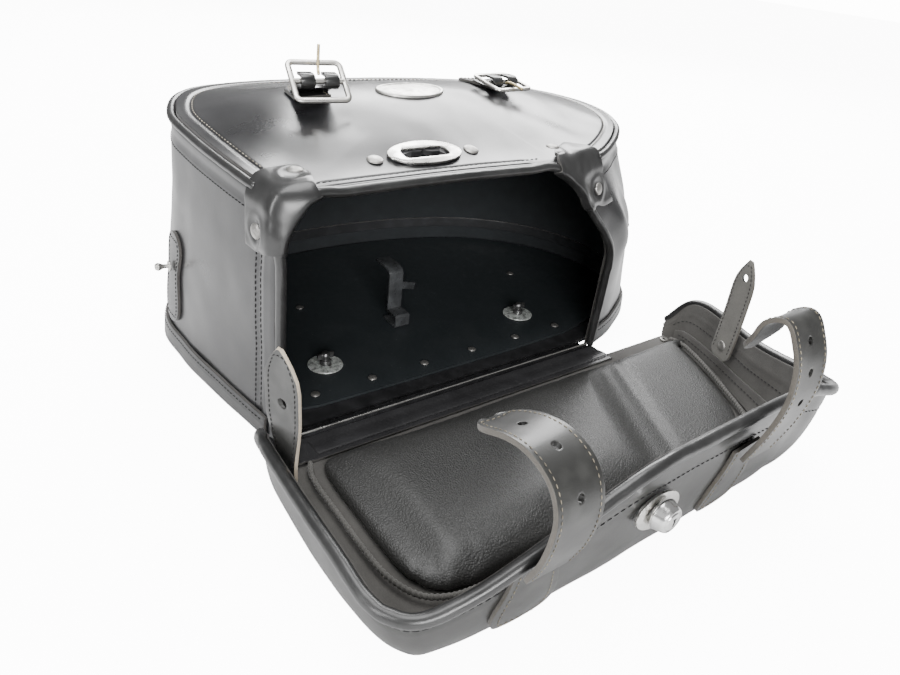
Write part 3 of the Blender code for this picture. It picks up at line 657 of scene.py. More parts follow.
panel_shape = panel + np.stack([0 * press, 0 * press, press], -1)
quads = grid_quads(*panel_shape.shape[:2], closed=True)
last = (len(rings) - 1) * len(outline)
quads.append([last + k for k in range(len(outline))][::-1])
front_panel = mesh_of("front_skin", panel_shape, quads, [body_leather, lining_side, cut_edge])


def carve(obj, tool):
    """Cuts a tool's shape out of a piece, and removes the tool."""
    cut = obj.modifiers.new("cut", "BOOLEAN")
    cut.operation = "DIFFERENCE"
    cut.object = tool
    plain_mesh(obj)
    bpy.data.objects.remove(tool, do_unlink=True)


def cut_out(obj, outline, centre, low, high):
    """Cuts a hole of any outline straight down through a piece."""
    count = len(outline)
    points = [(centre[0] + x, centre[1] + y, z) for z in (low, high) for x, y in outline]
    faces = [list(range(count))[::-1], list(range(count, 2 * count))]
    faces += [[k, (k + 1) % count, count + (k + 1) % count, count + k] for k in range(count)]
    carve(obj, mesh_of("cutting_tool", points, faces, []))


thickened(front_panel, LEATHER, -1, 0.5, 3)
ragged = [(-19, -4.5), (-10, -5.8), (2, -5.2), (13, -6), (19, -3), (15, 2.4), (8, 3.0), (2, 6.1),
          (-2, 4.0), (-9, 5.0), (-15, 3.2), (-19, 1.5)]
cut_out(front_panel, ragged, SLOT, 180, 215)
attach(front_panel, "bag")
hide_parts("front_panel")
lifted = on_face(panel_shape, 0.2, True)
seam_ring = int(np.argmin(np.abs((1 - rings[:, 0]) * 150 - 9)))
round_seam = lifted[seam_ring, 14:len(outline) - 128]
x_line = np.linspace(-150, 47, 80)


def level_row(y):
    """Smoothed points along the finished panel at one depth behind its mouth edge."""
    surface = panel_shape.reshape(-1, 3)
    nearest = [np.argmin(np.hypot(surface[:, 0] - x, surface[:, 1] - y)) for x in x_line]
    points = np.stack([x_line, np.full(len(x_line), y), surface[nearest, 2] + 0.1], 1)
    points[:, 2] = np.convolve(np.pad(points[:, 2], 4, mode="edge"), np.ones(9) / 9, "valid")
    return points


mouth_row = sew("mouth_stitches", [level_row(MOUTH_Y + 13)], black_thread, 4.6, 3.2, 1.2)
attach(mouth_row, "bag")
seam_row = sew("seam_stitches", [round_seam], cream_thread, 4.8, 3.0, 0.7)
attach(seam_row, "bag")

# ---------------------------------------------------------------- rolled edges
# Cords wrapped in thin leather: the welt in the front seam, the binding round the mouth, and the
# strip that holds the wall to the back plate.

edge_leather = grain_leather("edge_leather", (0.012, 0.012, 0.012), 0.34, 0.8, 0.06, 0.6, 2.6)
TRIM = [edge_leather, lining_side, cut_edge]
ROPE_PITCH = 3.4


def closed_tube(name, grid, finish):
    """A solid whose rows of points are closed rings, with a face over each end."""
    rows, columns = grid.shape[:2]
    faces = grid_quads(rows, columns, closed=True)
    faces.append(list(range(columns)))
    faces.append([(rows - 1) * columns + k for k in range(columns)][::-1])
    obj = mesh_of(name, grid, faces, [finish])
    shape = bmesh.new()
    shape.from_mesh(obj.data)
    bmesh.ops.recalc_face_normals(shape, faces=shape.faces)
    shape.to_mesh(obj.data)
    shape.free()
    obj.data.shade_smooth()
    return obj


def rolled(name, path, radius, finish, upright=(0, 0, 1), sides=14, wrinkle=0.22, flat=1.0,
           rope=0.0):
    """A leather roll along points in millimetres, puckered where it bends, with closed ends."""
    path = np.asarray(path, float)
    step = np.gradient(path, axis=0)
    step /= np.linalg.norm(step, axis=1)[:, None]
    high = np.array(upright, float) - step * (step @ np.array(upright, float))[:, None]
    high /= np.linalg.norm(high, axis=1)[:, None]
    wide = np.cross(step, high)
    length = np.concatenate([[0], np.cumsum(np.linalg.norm(np.diff(path, axis=0), axis=1))])
    bend = np.linalg.norm(np.gradient(step, axis=0), axis=1) / np.gradient(length)
    bend = np.convolve(bend, np.ones(9) / 9, "same")
    angle = np.linspace(0, 2 * np.pi, sides, endpoint=False)
    ring = np.stack([np.cos(angle), np.sin(angle) * flat], 1)
    grid = high[:, None] * ring[None, :, :1] + wide[:, None] * ring[None, :, 1:]
    grid = path[:, None] + radius * grid
    swell = wrinkle * lumps(grid, radius * 1.6, 7.7) * (0.5 + 14 * np.minimum(bend, 0.05))[:, None]
    swell = swell + wrinkle * 0.8 * lumps(grid, radius * 6, 2.1)
    swell = swell + rope * np.sin(2 * np.pi * length / ROPE_PITCH)[:, None]
    out = grid - path[:, None]
    return closed_tube(name, path[:, None] + out * (1 + swell / radius)[..., None], finish)


welt_line = flowing([WALL_BACK, WALL_FRONT], 480)[1][13:-19] - np.array([0, 0, WELT])
welt = rolled("front_piping", welt_line, WELT, edge_leather)
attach(welt, "bag")
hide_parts("front_welt")

EDGE = 4.0
MOUTH_START = -180
MOUTH_WIDE = 257
ahead_of_edge = EDGE + GAP + 0.2
left_edge = wall_grid(np.linspace(0.025, 0.86, 9))[:, 0]
right_edge = wall_grid(np.linspace(0.9, 0.025, 12))[:, -1]
middle_x = np.linspace(-160, 52, 9)
mouth_bow = 2.0 * np.sin(np.pi * (middle_x - MOUTH_START) / MOUTH_WIDE)
top_edge = np.stack([middle_x, np.full(9, MOUTH_Y), MOUTH_Z - LEATHER / 2 + mouth_bow], 1)
mouth_line = np.concatenate([left_edge + [LEATHER / 2, 0, 0], top_edge,
                             right_edge - [LEATHER / 2, 0, 0]]) - [0, ahead_of_edge, 0]
mouth_line = flowing([mouth_line], 380)[0]
mouth_roll = rolled("mouth_roll", mouth_line, EDGE, edge_leather, (0, 1, 0), 14, 0.3, 0.92)
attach(mouth_roll, "bag")
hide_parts("mouth_binding")

BAND_TOP = 19.0
BAND_THICK = 2.6
WALL_HEIGHT = 198.0
band_shares = np.linspace(0.005, BAND_TOP / WALL_HEIGHT, 14)
band = wall_grid(band_shares, 3, WALL_STEPS - 3, GAP + 0.8 + BAND_THICK)
lean = np.linspace(0, 1, 14)[:, None]
band = band + facing(band) * (0.5 * lumps(band, 30.0, 4.4) - 1.2 * hump(lean, 1.0, 0.16)
                              - 0.4 * hump(lean, 0.72, 0.07))[..., None]
foot_band = leather_sheet("foot_band", band, BAND_THICK, TRIM, edge=0.6)
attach(foot_band, "bag")
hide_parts("back_binding")
band_row = sew("band_stitches", [on_face(band)[10, 2:-2]], black_thread)
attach(band_row, "bag")

# ---------------------------------------------------------------- lid shell
# The lid is one moulded sheet: a flat top that lies on the ground, and a deep gusset. Its rough
# side is inside, grey-brown with wear. A seam allowance runs round inside, low on the gusset.

LID_FLOOR = [
    (-200, -97), (-206, -130), (-206, -218), (-192, -262), (-170, -272), (-75, -275), (-21, -275),
    (71, -275), (120, -273), (158, -264), (203, -201), (232.5, -124), (231, -97),
]
LID_RIM = [
    (-204, -93, 36), (-214, -128, 53), (-216, -218, 54), (-211, -270, 51), (-176, -288, 61),
    (-75, -298, 104), (-21, -296, 105), (71, -293, 102), (120, -291, 95), (170, -282, 79),
    (210, -204, 58), (237, -122, 54), (234, -93, 22),
]
LID_BACK_Y = -97.0
LID_STEPS = 330
RIM = 4.3


def lid_grid(turns, with_floor=True):
    """The lid's outer face: its flat top, then its gusset up to its rim, left end to right end."""
    floor, rim = flowing([LID_FLOOR, LID_RIM], LID_STEPS)
    step = np.gradient(rim, axis=0)
    steep = np.linalg.norm(step, axis=1) / np.linalg.norm(step[:, :2], axis=1)
    top = rim[:, 2] - RIM * (1.0 + 0.3 * np.minimum(steep - 1, 1.0))
    back = np.stack([np.linspace(floor[0, 0] + 16, floor[-1, 0] - 16, LID_STEPS + 1),
                     np.full(LID_STEPS + 1, LID_BACK_Y)], 1)
    rows = []
    if with_floor:
        for share in np.linspace(0, 1, 26)[:-1]:
            flat = back + (floor - back) * share
            rows.append(np.concatenate([flat, np.zeros((LID_STEPS + 1, 1))], 1))
    for turn in np.radians(turns):
        plan = floor + (rim[:, :2] - floor) * np.sin(turn)
        rows.append(np.concatenate([plan, (top * (1 - np.cos(turn)))[:, None]], 1))
    return np.array(rows)[:, ::-1]


lid_leather = grain_leather("lid_leather", (0.013, 0.013, 0.012), 0.38, 1.0, 0.06, 0.6, 2.2)
gusset_side = rough_leather("gusset_side", (0.066, 0.063, 0.058))
lid = lid_grid(np.linspace(0, 90, 46))
row = np.arange(len(lid))[:, None]
rise = np.clip((row - 25) / 45, 0, 1)
press = ease(rise * 3) * (1.0 * lumps(lid, 60.0, 8.8) + 0.3 * lumps(lid, 20.0, 6.1))
press = press * (1 - ease((rise - 0.85) * 8)) - 0.5 * hump(rise, 0.84, 0.02)
lid_shape = lid + facing(lid) * press[..., None]
lid_shell = leather_sheet("lid_skin", lid_shape, LEATHER, [lid_leather, gusset_side, cut_edge])
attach(lid_shell, "lid")
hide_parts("lid_shell")

inner = lid_grid(np.linspace(16, 50, 12), with_floor=False)
allowance = inner - facing(inner) * (LEATHER + 0.35)
allowance = allowance[:, 8:-8]
allowance[..., 2] = np.maximum(allowance[..., 2], LEATHER + 0.4)
allowance = allowance[::-1]
seam_strip = leather_sheet("seam_allowance", allowance + facing(allowance) * 1.7, 1.6,
                           [gusset_side, gusset_side, cut_edge], edge=0.4)
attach(seam_strip, "lid")
inside = lid_shape - facing(lid_shape) * (LEATHER + 0.2)
lid_rows = sew("lid_stitches", [(lid_shape + facing(lid_shape) * 0.2)[63, 4:-4], inside[58, 6:-6],
                                (allowance + facing(allowance) * 1.9)[3, 4:-4]],
               black_thread, 5.0, 3.8, 0.8)
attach(lid_rows, "lid")

rim_line = flowing([LID_FLOOR, LID_RIM], 420)[1]
rim_line[:, :2] -= out_of(rim_line) * (LEATHER / 2)
rim_line[:, 2] -= RIM
rim_roll = rolled("lid_rim_roll", rim_line, RIM, edge_leather, sides=16, wrinkle=0.3)
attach(rim_roll, "lid")
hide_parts("lid_rim_binding")

# ---------------------------------------------------------------- liner pad
# A foam pad covered in pebbled leatherette, soft and crowned, with one crease across it and a dark
# tape whipped round its edge. It is glued inside the lid's flat top.

PAD = [(-178, -112), (-182, -121), (-184, -135), (-184, -160), (-184, -200), (-182, -225),
       (-174, -244), (-160, -254), (-140, -258), (-100, -259), (-20, -259), (60, -259), (105, -258.5),
       (130, -257), (152, -250), (168, -236), (182, -215), (205, -170), (217, -142), (222, -124),
       (219, -112)]
PAD_LOW = 4.3
PAD_HIGH = 15.3
PAD_SWELL = 5.0 * MM
PAD_CROWN = 5.0
PAD_MIDDLE = np.array([20.0, -185.0])
CREASE_AT = (90, -190)
CREASE_LEAN = 0.49
LOW_CEILING = 15.0
HIGH_CEILING = 25.0
LEFT_RISE = -164


def leatherette(name, tone):
    """Coarsely pebbled black-grey leatherette, paler on its crests as a painted highlight and darker between
    its pebbles as painted shade.
    """
    look = Finish(name, tone, 0.42)
    look.coat(0.3)
    pebbles = look.cells(820, 0.4)
    # Painted highlight and shade: the pebble pattern of the bump also paints the crests paler and the
    # hollows between pebbles darker.
    look.paint(look.ramp(pebbles, shade(tone, 1.7), shade(tone, 0.6), 0.15, 0.6),
               look.ramp(look.cloudy(14, 3), tone, shade(tone, 1.5)), 0.5)
    look.dull(look.ramp(pebbles, 0.34, 0.6, 0.1, 0.6))
    look.relief((look.cloudy(70, 5), 0.6, 0.3), (pebbles, 0.55, 1.0))
    return look.made


pad_cover = leatherette("pad_cover", (0.022, 0.022, 0.021))
edge_line = flowing([PAD + [PAD[0]]], 240)[0][:-1]
loops = [(0.5, PAD_LOW), (0.97, PAD_LOW), (0.985, PAD_LOW + 1.5), (0.985, PAD_HIGH - 6.0),
         (0.965, PAD_HIGH - 4.0), (0.9, PAD_HIGH - 2.6), (0.75, PAD_HIGH - 2.2),
         (0.4, PAD_HIGH - 2.0)]
pad_points = []
for reach, z in loops:
    ring = PAD_MIDDLE + (edge_line - PAD_MIDDLE) * reach
    pad_points.append(np.concatenate([ring, np.full((len(ring), 1), z)], 1))
pad = closed_tube("liner_cushion", np.array(pad_points), pad_cover)
voxels = pad.modifiers.new("voxels", "REMESH")
voxels.mode = "VOXEL"
voxels.voxel_size = 0.005
plain_mesh(pad)
before = np.array([v.co for v in pad.data.vertices])
cloth = pad.modifiers.new("cloth", "CLOTH")
cloth.settings.quality = 5
cloth.settings.mass = 0.3
cloth.settings.tension_stiffness = 20
cloth.settings.compression_stiffness = 20
cloth.settings.use_pressure = True
cloth.settings.uniform_pressure_force = 4.0
cloth.settings.effector_weights.gravity = 0.0
for step in range(1, 21):
    bpy.context.scene.frame_set(step)
plain_mesh(pad)
bpy.context.scene.frame_set(1)
after = np.array([v.co for v in pad.data.vertices])
moved = after - before
far = np.linalg.norm(moved, axis=1, keepdims=True)
after = before + moved * np.minimum(1.0, PAD_SWELL / np.maximum(far, 1e-9))
x, y = after[:, 0] / MM, after[:, 1] / MM
top = after[:, 2] > (PAD_LOW + 4) * MM
to_edge = np.stack([x, y], 1)[:, None] - edge_line[None, ::4]
edge_gap = np.min(np.linalg.norm(to_edge, axis=2), axis=1)
crowned = PAD_CROWN * ease(edge_gap / 40)
crease_way = (x - CREASE_AT[0]) - CREASE_LEAN * (y - CREASE_AT[1])
crowned = crowned - 2.4 * hump(crease_way, 0, 6) * ease(edge_gap / 25)
crowned = crowned + np.array([noise.noise(Vector((a / 45, b / 45, 1.3))) for a, b in zip(x, y)])
after[:, 2] += top * (crowned + 1.5) * MM
raised = np.minimum(ease((x - LEFT_RISE) / 30), ease((-crease_way - 18) / 32))
ceiling = LOW_CEILING + (HIGH_CEILING - LOW_CEILING) * raised
ceiling = ceiling - 1.6 * hump(crease_way, 0, 7) + 0.6 * ease((edge_gap - 6) / 20)
spare = ceiling - after[:, 2] / MM
pressed = (ceiling - 0.5 * (np.sqrt(spare ** 2 + 6) + spare) + 0.2) * MM
after[:, 2] = np.maximum(np.where(top, pressed, after[:, 2]), (PAD_LOW - 0.3) * MM)
pad.data.vertices.foreach_set("co", after.ravel())
subdivided(pad, 1)
plain_mesh(pad)
pad.data.materials.clear()
pad.data.materials.append(pad_cover)
pad.data.shade_smooth()
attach(pad, "lid")
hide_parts("liner_pad")

tape_path = flowing([PAD], 1500)[0]
tape_path = np.concatenate([tape_path, np.full((len(tape_path), 1), PAD_LOW + 5.5)], 1)
tape_cloth = rough_leather("pad_tape_cloth", (0.085, 0.082, 0.076))
tape = rolled("pad_tape", tape_path, 2.2, tape_cloth, sides=8, wrinkle=0.1, flat=0.75, rope=0.3)
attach(tape, "lid")

# ---------------------------------------------------------------- corner caps
# A patch of thick leather is folded over each top corner of the mouth, rolled round the binding at
# the front, and held by two domed rivets pressed deep into it.


def cap_line(index, inwards):
    """Section of a cap at a place on the wall: up the wall, over the seam, onto the panel."""
    front = flowing([WALL_BACK, WALL_FRONT], WALL_STEPS)[1][index]
    points = list(wall_grid([0.77, 0.84, 0.91, 0.955], out=4.1)[:, index])
    inwards = np.array(inwards) / np.linalg.norm(inwards)
    for reach, lift in ((1.0, 2.0), (7.0, 5.2), (15.0, 6.2), (24.0, 6.6), (33.0, 6.9)):
        points.append(np.array([*(front[:2] + inwards * reach), front[2] + lift]))
    return flowing([points], 44)[0]


def make_cap(side, indices, ways, corner, flip):
    """Joins three sections with two lines over and under the mouth's roll at a corner."""
    front, middle, back = (cap_line(k, way) for k, way in zip(indices, ways))
    roll = flowing([corner], 44)[0]
    centre = np.array([-50.0, 0.0, 95.0])
    away = (roll - centre) * [1, 0, 1]
    away /= np.linalg.norm(away, axis=1)[:, None]
    over = (roll + front + away * (EDGE + 3.4)) / 2 + away * 3.0 + [0, 0.8, 0]
    ahead = roll + [0, -EDGE - 2.2, 0]
    under = roll - away * (EDGE + 1.6) + [0, -1.0, 0]
    sections = [flowing([[b, m, o, a, u]], 40)[0]
                for b, m, o, a, u in zip(back, middle, over, ahead, under)]
    grid = np.array(sections)
    grid = grid[:, ::-1] if flip else grid
    press = 0.6 * lumps(grid, 16.0, 3.3)
    for place in ("top", "side"):
        low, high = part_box(f"cap_rivet_{side}_{place}")
        middle_of = (np.array(low) + np.array(high)) / 2 / MM
        gap = np.linalg.norm(grid - middle_of, axis=-1)
        press += -1.5 * hump(gap, 0, 6.5) + 0.8 * hump(gap, 10.5, 2.6)
    u = np.linspace(0, 1, len(grid))[:, None]
    press -= 0.8 * (hump(u, 0, 0.03) + hump(u, 1, 0.03))
    grid = grid + facing(grid) * press[..., None]
    cap = leather_sheet(f"mouth_cap_{side}", grid, 2.6, TRIM, edge=0.6)
    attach(cap, "bag")
    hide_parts(f"corner_cap_{side}")


left_corner = [p for p in mouth_line if p[2] > 152 and p[0] < -148]
right_corner = [p for p in mouth_line if p[2] > 150 and p[0] > 46][::-1]
make_cap("left", (0, 6, 11), [(1, 0), (1, 0), (1, 0)], left_corner[::6], True)
make_cap("right", (318, 313, 307), [(-1, 0), (-1, 0.3), (-1, 0.6)], right_corner[::6], False)
for side in ("left", "right"):
    for place in ("top", "side"):
        refined(f"cap_stud_{side}_{place}", f"cap_rivet_{side}_{place}", "bag", dark_nickel,
                0.3, 2)

# ---------------------------------------------------------------- slot plate and oval plate
# A bright oval plate frames the lock's slot, between two flat domed rivets. Further up sits a blank
# oval plate with a raised rim.


def settled(obj, tilt, sink):
    """Lays a flat piece, made at a tilt, on the panel's face."""
    points = np.array([v.co for v in obj.data.vertices]) / MM
    middle = (points.max(0) + points.min(0)) / 2
    own = points[:, 2] - math.tan(math.radians(tilt)) * (points[:, 1] - middle[1])
    flat = panel_shape.reshape(-1, 3)
    near = flat[np.hypot(flat[:, 0] - middle[0], flat[:, 1] - middle[1]) < 60]
    terms = np.stack([near[:, 0] ** k * near[:, 1] ** j for k, j in
                      ((0, 0), (1, 0), (0, 1), (2, 0), (1, 1), (0, 2))], 1)
    fit = np.linalg.lstsq(terms, near[:, 2], rcond=None)[0]
    x, y = points[:, 0], points[:, 1]
    face = fit[0] + fit[1] * x + fit[2] * y + fit[3] * x * x + fit[4] * x * y + fit[5] * y * y
    points[:, 2] = face + own - own.min() + sink
    obj.data.vertices.foreach_set("co", (points * MM).ravel())
    obj.data.update()


settled(refined("slot_plate", "lock_escutcheon", "bag", nickel_plate, 0.6, 0), 9.0, 0.3)
for side in ("left", "right"):
    settled(refined(f"slot_rivet_{side}", f"escutcheon_rivet_{side}", "bag", dark_nickel, 0.3, 2), 12.0, 0.0)


def turned(name, profile, finish, stretch=(1.0, 1.0), steps=64):
    """A turned shape standing on z = 0: profile is (radius, height) in mm, from outside to axis."""
    angle = np.linspace(0, 2 * np.pi, steps, endpoint=False)
    grid = np.array([[(r * math.cos(a) * stretch[0], r * math.sin(a) * stretch[1], z) for a in angle]
                     for r, z in profile])
    obj = closed_tube(name, grid, finish)
    obj.data.set_sharp_from_angle(angle=math.radians(50))
    return obj


plate_low, plate_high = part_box("oval_badge")
PLATE_PROFILE = [(32.5, 0.0), (32.5, 1.2), (31.9, 1.8), (30.6, 2.0), (29.4, 1.7), (28.8, 1.1),
                 (27.5, 0.9), (18, 1.3), (8, 1.55), (1, 1.6)]
PLATE_STRETCH = (1.0, 19 / 32.5)
badge_plate = plated("badge_plate", (0.70, 0.69, 0.66), 0.3, 0.7, 120)
oval = turned("blank_plate", PLATE_PROFILE, badge_plate, PLATE_STRETCH, 80)
oval.data.transform(Matrix.Translation(((plate_low[0] + plate_high[0]) / 2,
                                        (plate_low[1] + plate_high[1]) / 2, plate_low[2])))
settled(oval, 0.0, 0.2)
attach(oval, "bag")
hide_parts("oval_badge")

# ---------------------------------------------------------------- buckles
# Two plated bar buckles, each held in a folded leather loop that is sewn down behind it. The frames
# are worn bright, and the thin brass prongs lie over their bars.

buckle_plate = plated("buckle_plate", (0.76, 0.74, 0.70), 0.2, 0.6, 60)
prong_brass = plated("prong_brass", (0.72, 0.60, 0.36), 0.25, 0.7, 200)
CHAPE_HALF = 15.0
CHAPE_END = 52.6
CHAPE_ROUND = 14
BUCKLES = {"left": (-96.0, 46.0, -7.0, 40.0, 18.0), "right": (98.0, 60.0, 6.0, 10.0, 8.0)}


def towards(grid, way):
    """The grid with its face towards a direction: its rows are reversed if it looks away."""
    middle = facing(grid)[len(grid) // 2, grid.shape[1] // 2]
    return grid if middle @ np.array(way, float) > 0 else grid[:, ::-1]


def hoop(name, half_x, half_y, corner, wide, high, finish):
    """A closed rounded rectangle of flat rounded bar, lying round the origin."""
    path = []
    for cx, cy, first in ((1, 1, 0), (-1, 1, 90), (-1, -1, 180), (1, -1, 270)):
        for angle in np.radians(np.linspace(first, first + 90, 7)):
            path.append((cx * (half_x - corner) + corner * math.cos(angle),
                         cy * (half_y - corner) + corner * math.sin(angle), 0.0))
    path = np.array(path)
    step = np.roll(path, -1, axis=0) - np.roll(path, 1, axis=0)
    step /= np.linalg.norm(step, axis=1)[:, None]
    sideways = np.stack([step[:, 1], -step[:, 0], 0 * step[:, 0]], 1)
    angle = np.linspace(0, 2 * np.pi, 16, endpoint=False)
    across = np.sign(np.cos(angle)) * np.abs(np.cos(angle)) ** 0.7 * wide / 2
    tall = np.sign(np.sin(angle)) * np.abs(np.sin(angle)) ** 0.7 * high / 2
    grid = path[:, None] + sideways[:, None] * across[None, :, None]
    grid[..., 2] += tall
    grid = np.concatenate([grid, grid[:1]])
    obj = mesh_of(name, grid, grid_quads(len(grid), 16, closed=True), [finish])
    shape = bmesh.new()
    shape.from_mesh(obj.data)
    bmesh.ops.remove_doubles(shape, verts=shape.verts, dist=1e-6)
    bmesh.ops.create_cone(shape, cap_ends=True, segments=16, radius1=0.0021, radius2=0.0021,
                          depth=(2 * half_x - 1) * MM, matrix=Matrix.Rotation(math.pi / 2, 4, "Y"))
    bmesh.ops.recalc_face_normals(shape, faces=shape.faces)
    shape.to_mesh(obj.data)
    shape.free()
    obj.data.shade_smooth()
    obj.data.set_sharp_from_angle(angle=math.radians(60))
    return obj


for side, (x, y, turn, tilt, lift) in BUCKLES.items():
    bar = hoop(f"frame_{side}", 20.6, 17.2, 4.0, 4.6, 3.0, buckle_plate)
    bar.data.transform(Matrix.Translation((x * MM, y * MM, (float(crown(x, y)) + lift) * MM))
                       @ Matrix.Rotation(math.radians(turn), 4, "Z")
                       @ Matrix.Rotation(math.radians(tilt), 4, "X"))
    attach(bar, f"buckle_{side}")
    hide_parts(f"buckle_frame_{side}")
    refined(f"tongue_{side}", f"buckle_prong_{side}", f"prong_{side}", prong_brass, 0.2, 1)
    refined(f"loop_{side}", f"buckle_strap_{side}", "bag", edge_leather, 0.7, 0)
    along, across = math.radians(90 + turn), math.radians(turn)
    rows = []
    for reach in np.linspace(52, 13, 30):
        inward = min(1.0, (CHAPE_END - reach) / CHAPE_ROUND)
        half = CHAPE_HALF * math.sqrt(max(0.02, inward) * (2 - inward))
        row = []
        for k in np.linspace(-1, 1, 17):
            px = x + reach * math.cos(along) + k * half * math.cos(across)
            py = y + reach * math.sin(along) + k * half * math.sin(across)
            row.append((px, py, float(crown(px, py)) + 3.0))
        rows.append(row)
    tail = towards(np.array(rows), (0, 0, 1))
    chape = leather_sheet(f"sewn_tail_{side}", tail, 2.4, TRIM, edge=0.6)
    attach(chape, "bag")
    sewn = on_face(tail, 0.25)
    chape_row = sew(f"tail_stitches_{side}", [sewn[3:, 2], sewn[3:, -3], sewn[3, 3:-3]], cream_thread,
                    3.6, 2.6, 0.7)
    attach(chape_row, "bag")

# ---------------------------------------------------------------- side patches and studs
# Low on each side wall a leather patch carries the ball stud that a lid tab buttons onto.

PATCHES = {"left": (92.0, 26.0, 108.0, 0), "right": (15.0, 60.0, 112.0, 200)}
for side, (y, low, high, after_column) in PATCHES.items():
    half_way = wall_shape[26, after_column:after_column + 120]
    column = after_column + int(np.argmin(np.abs(half_way[:, 1] - y)))
    rows = []
    for z in np.linspace(high, low, 44):
        share = z / WALL_HEIGHT
        k = int(np.searchsorted(shares, share))
        mix = (share - shares[k - 1]) / (shares[k] - shares[k - 1])
        level = wall_shape[k - 1] * (1 - mix) + wall_shape[k] * mix
        run = np.concatenate([[0], np.cumsum(np.linalg.norm(np.diff(level, axis=0), axis=1))])
        end_gap = min(z - low, high - z)
        half = 15.0 * math.sqrt(max(0.02, 1 - (1 - min(1.0, (end_gap + 0.3) / 15)) ** 2))
        half *= 1 - 0.2 * float(hump(z, (low + high) / 2 + 8, 12))
        reach = run[column] + np.linspace(-half, half, 17)
        rows.append(np.stack([np.interp(reach, run, level[:, axis]) for axis in range(3)], 1))
    patch = np.array(rows)
    patch = on_face(towards(patch, (*patch[20, 8, :2], 0)), 2.7)
    piece = leather_sheet(f"stud_patch_{side}", patch, 2.4, TRIM, edge=0.7)
    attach(piece, "bag")
    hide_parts(f"side_patch_{side}")
    sewn = on_face(patch, 0.2)
    border = np.concatenate([sewn[3:-3, 2], sewn[-4, 3:-3], sewn[-4:3:-1, -3], sewn[3, -4:2:-1]])
    patch_row = sew(f"patch_stitches_{side}", [border], black_thread, *HEAVY_STITCH)
    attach(patch_row, "bag")
    refined(f"ball_stud_{side}", f"side_stud_{side}", "bag", nickel_plate, 0.2, 2)

# ---------------------------------------------------------------- band inside the bag
# A stiff leather band runs round inside, low on the wall, where the wall is fixed to the back.

band_inside = wall_grid(np.linspace(0.105, 0.165, 10), 50, 262, -(LEATHER + 0.5))[:, ::-1]
inside_band = leather_sheet("inside_band", band_inside + facing(band_inside) * 1.8, 1.7,
                            [grain_leather("band_leather", (0.030, 0.031, 0.033), 0.45),
                             lining_side, cut_edge], edge=0.4)
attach(inside_band, "bag")

# ---------------------------------------------------------------- hinge flap
# A pebbled leather strip joins the lid to the back plate and is the hinge itself. One long edge is
# clamped in the enamelled rail, behind a thin bright lip, and the other is sewn to the lid. At the
# left end a loose tongue of leather is tucked up over the lid's corner.

flap_leather = grain_leather("flap_leather", (0.013, 0.013, 0.014), 0.5, 1.6, 0.22)
FLAP_BACK = -76.0
FLAP_FRONT = -107.0
FLAP_SEAM = -101.5
flap_y = np.linspace(FLAP_BACK, FLAP_FRONT, 46)
flap_x = np.linspace(-176, 141, 160)
flap = np.array([[(x, y, 4.2 + 1.5 * float(ease((-86 - y) / 10)) - 0.8 * float(ease((y + 80) / 3)))
                  for x in flap_x] for y in flap_y])
flap = towards(flap, (0, 0, 1))
line = np.abs(flap[..., 1] - FLAP_SEAM)
flap = flap + facing(flap) * (0.25 * lumps(flap, 14.0, 5.5) - 0.4 * hump(line, 0, 1.2))[..., None]
flap_skin = leather_sheet("hinge_strip", flap, 1.7, [flap_leather, flap_leather, cut_edge], edge=0.4)
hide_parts("hinge_flap")
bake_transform(flap_skin)
flap_row = sew("flap_stitches", [on_face(flap)[38, 3:-3]], black_thread)
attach(flap_row, "lid")

rail_x = np.linspace(-173, 132, 120)
rail_lip = rolled("rail_lip", [(x, -79.2, 8.6) for x in rail_x], 0.9, nickel_plate, sides=10,
                  wrinkle=0.02)
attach(rail_lip, "bag")
tuck = []
for v in np.linspace(0, 1, 16):
    row = []
    for x in np.linspace(-202, -168, 26):
        rise = 17 * float(ease((-184 - x) / 16)) * (1 - 0.35 * v)
        fold = 1.6 * math.sin((x + 202) / 4.0 + 3 * v) * (1 - v * 0.5)
        row.append((x + 3 * v, -88.0 - 19 * v, 6.4 + rise + fold))
    tuck.append(row)
tuck = towards(np.array(tuck), (0, 0, 1))
corner_tuck = leather_sheet("corner_tuck", tuck, 1.6, [flap_leather, gusset_side, cut_edge],
                            edge=0.4)
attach(corner_tuck, "lid")

# ---------------------------------------------------------------- closing straps
# Each strap is two layers of leather sewn along both edges with tan thread, with a row of punched
# holes. Its leaf-shaped root is sewn to the lid's front, and it bends where it leaves the root.

STRAPS = {
    "left": (-137.0, 60.0, [(-299.5, 67), (-307, 89), (-309, 114), (-301, 130), (-286, 136),
                            (-270, 134), (-252, 126), (-242, 120)], (0.44, 0.62, 0.80)),
    "right": (45.0, 66.0, [(-300.5, 71), (-308, 97), (-312, 123), (-310, 143), (-304, 157),
                           (-296, 167), (-286, 162), (-282, 149), (-275, 137)], (0.36, 0.5, 0.64)),
}
STRAP_ROWS = 84
STRAP_HALF = 15.6
STRAP_THICK = 3.2
strap_leather = grain_leather("strap_leather", (0.016, 0.016, 0.015), 0.4, 0.9, 0.06, 0.8, 2.6)
strap_back = rough_leather("strap_back", (0.014, 0.014, 0.014))
strap_edge = rough_leather("strap_edge", (0.075, 0.067, 0.056))
tan_thread = waxed_thread("tan_thread", (0.26, 0.225, 0.165))
STRAP_SIDES = [strap_leather, strap_back, strap_edge]
TIP_START = 0.86
TIP_LENGTH = 0.147


def lid_face(x, z):
    """Y of the lid's outer front face at that x and height."""
    front = lid_shape[26:].reshape(-1, 3)
    front = front[front[:, 1] < -255]
    gap = np.hypot(front[:, 0] - x, front[:, 2] - z)
    near = np.argsort(gap)[:6]
    weight = 1 / (gap[near] + 0.3)
    return float((front[near, 1] * weight).sum() / weight.sum())


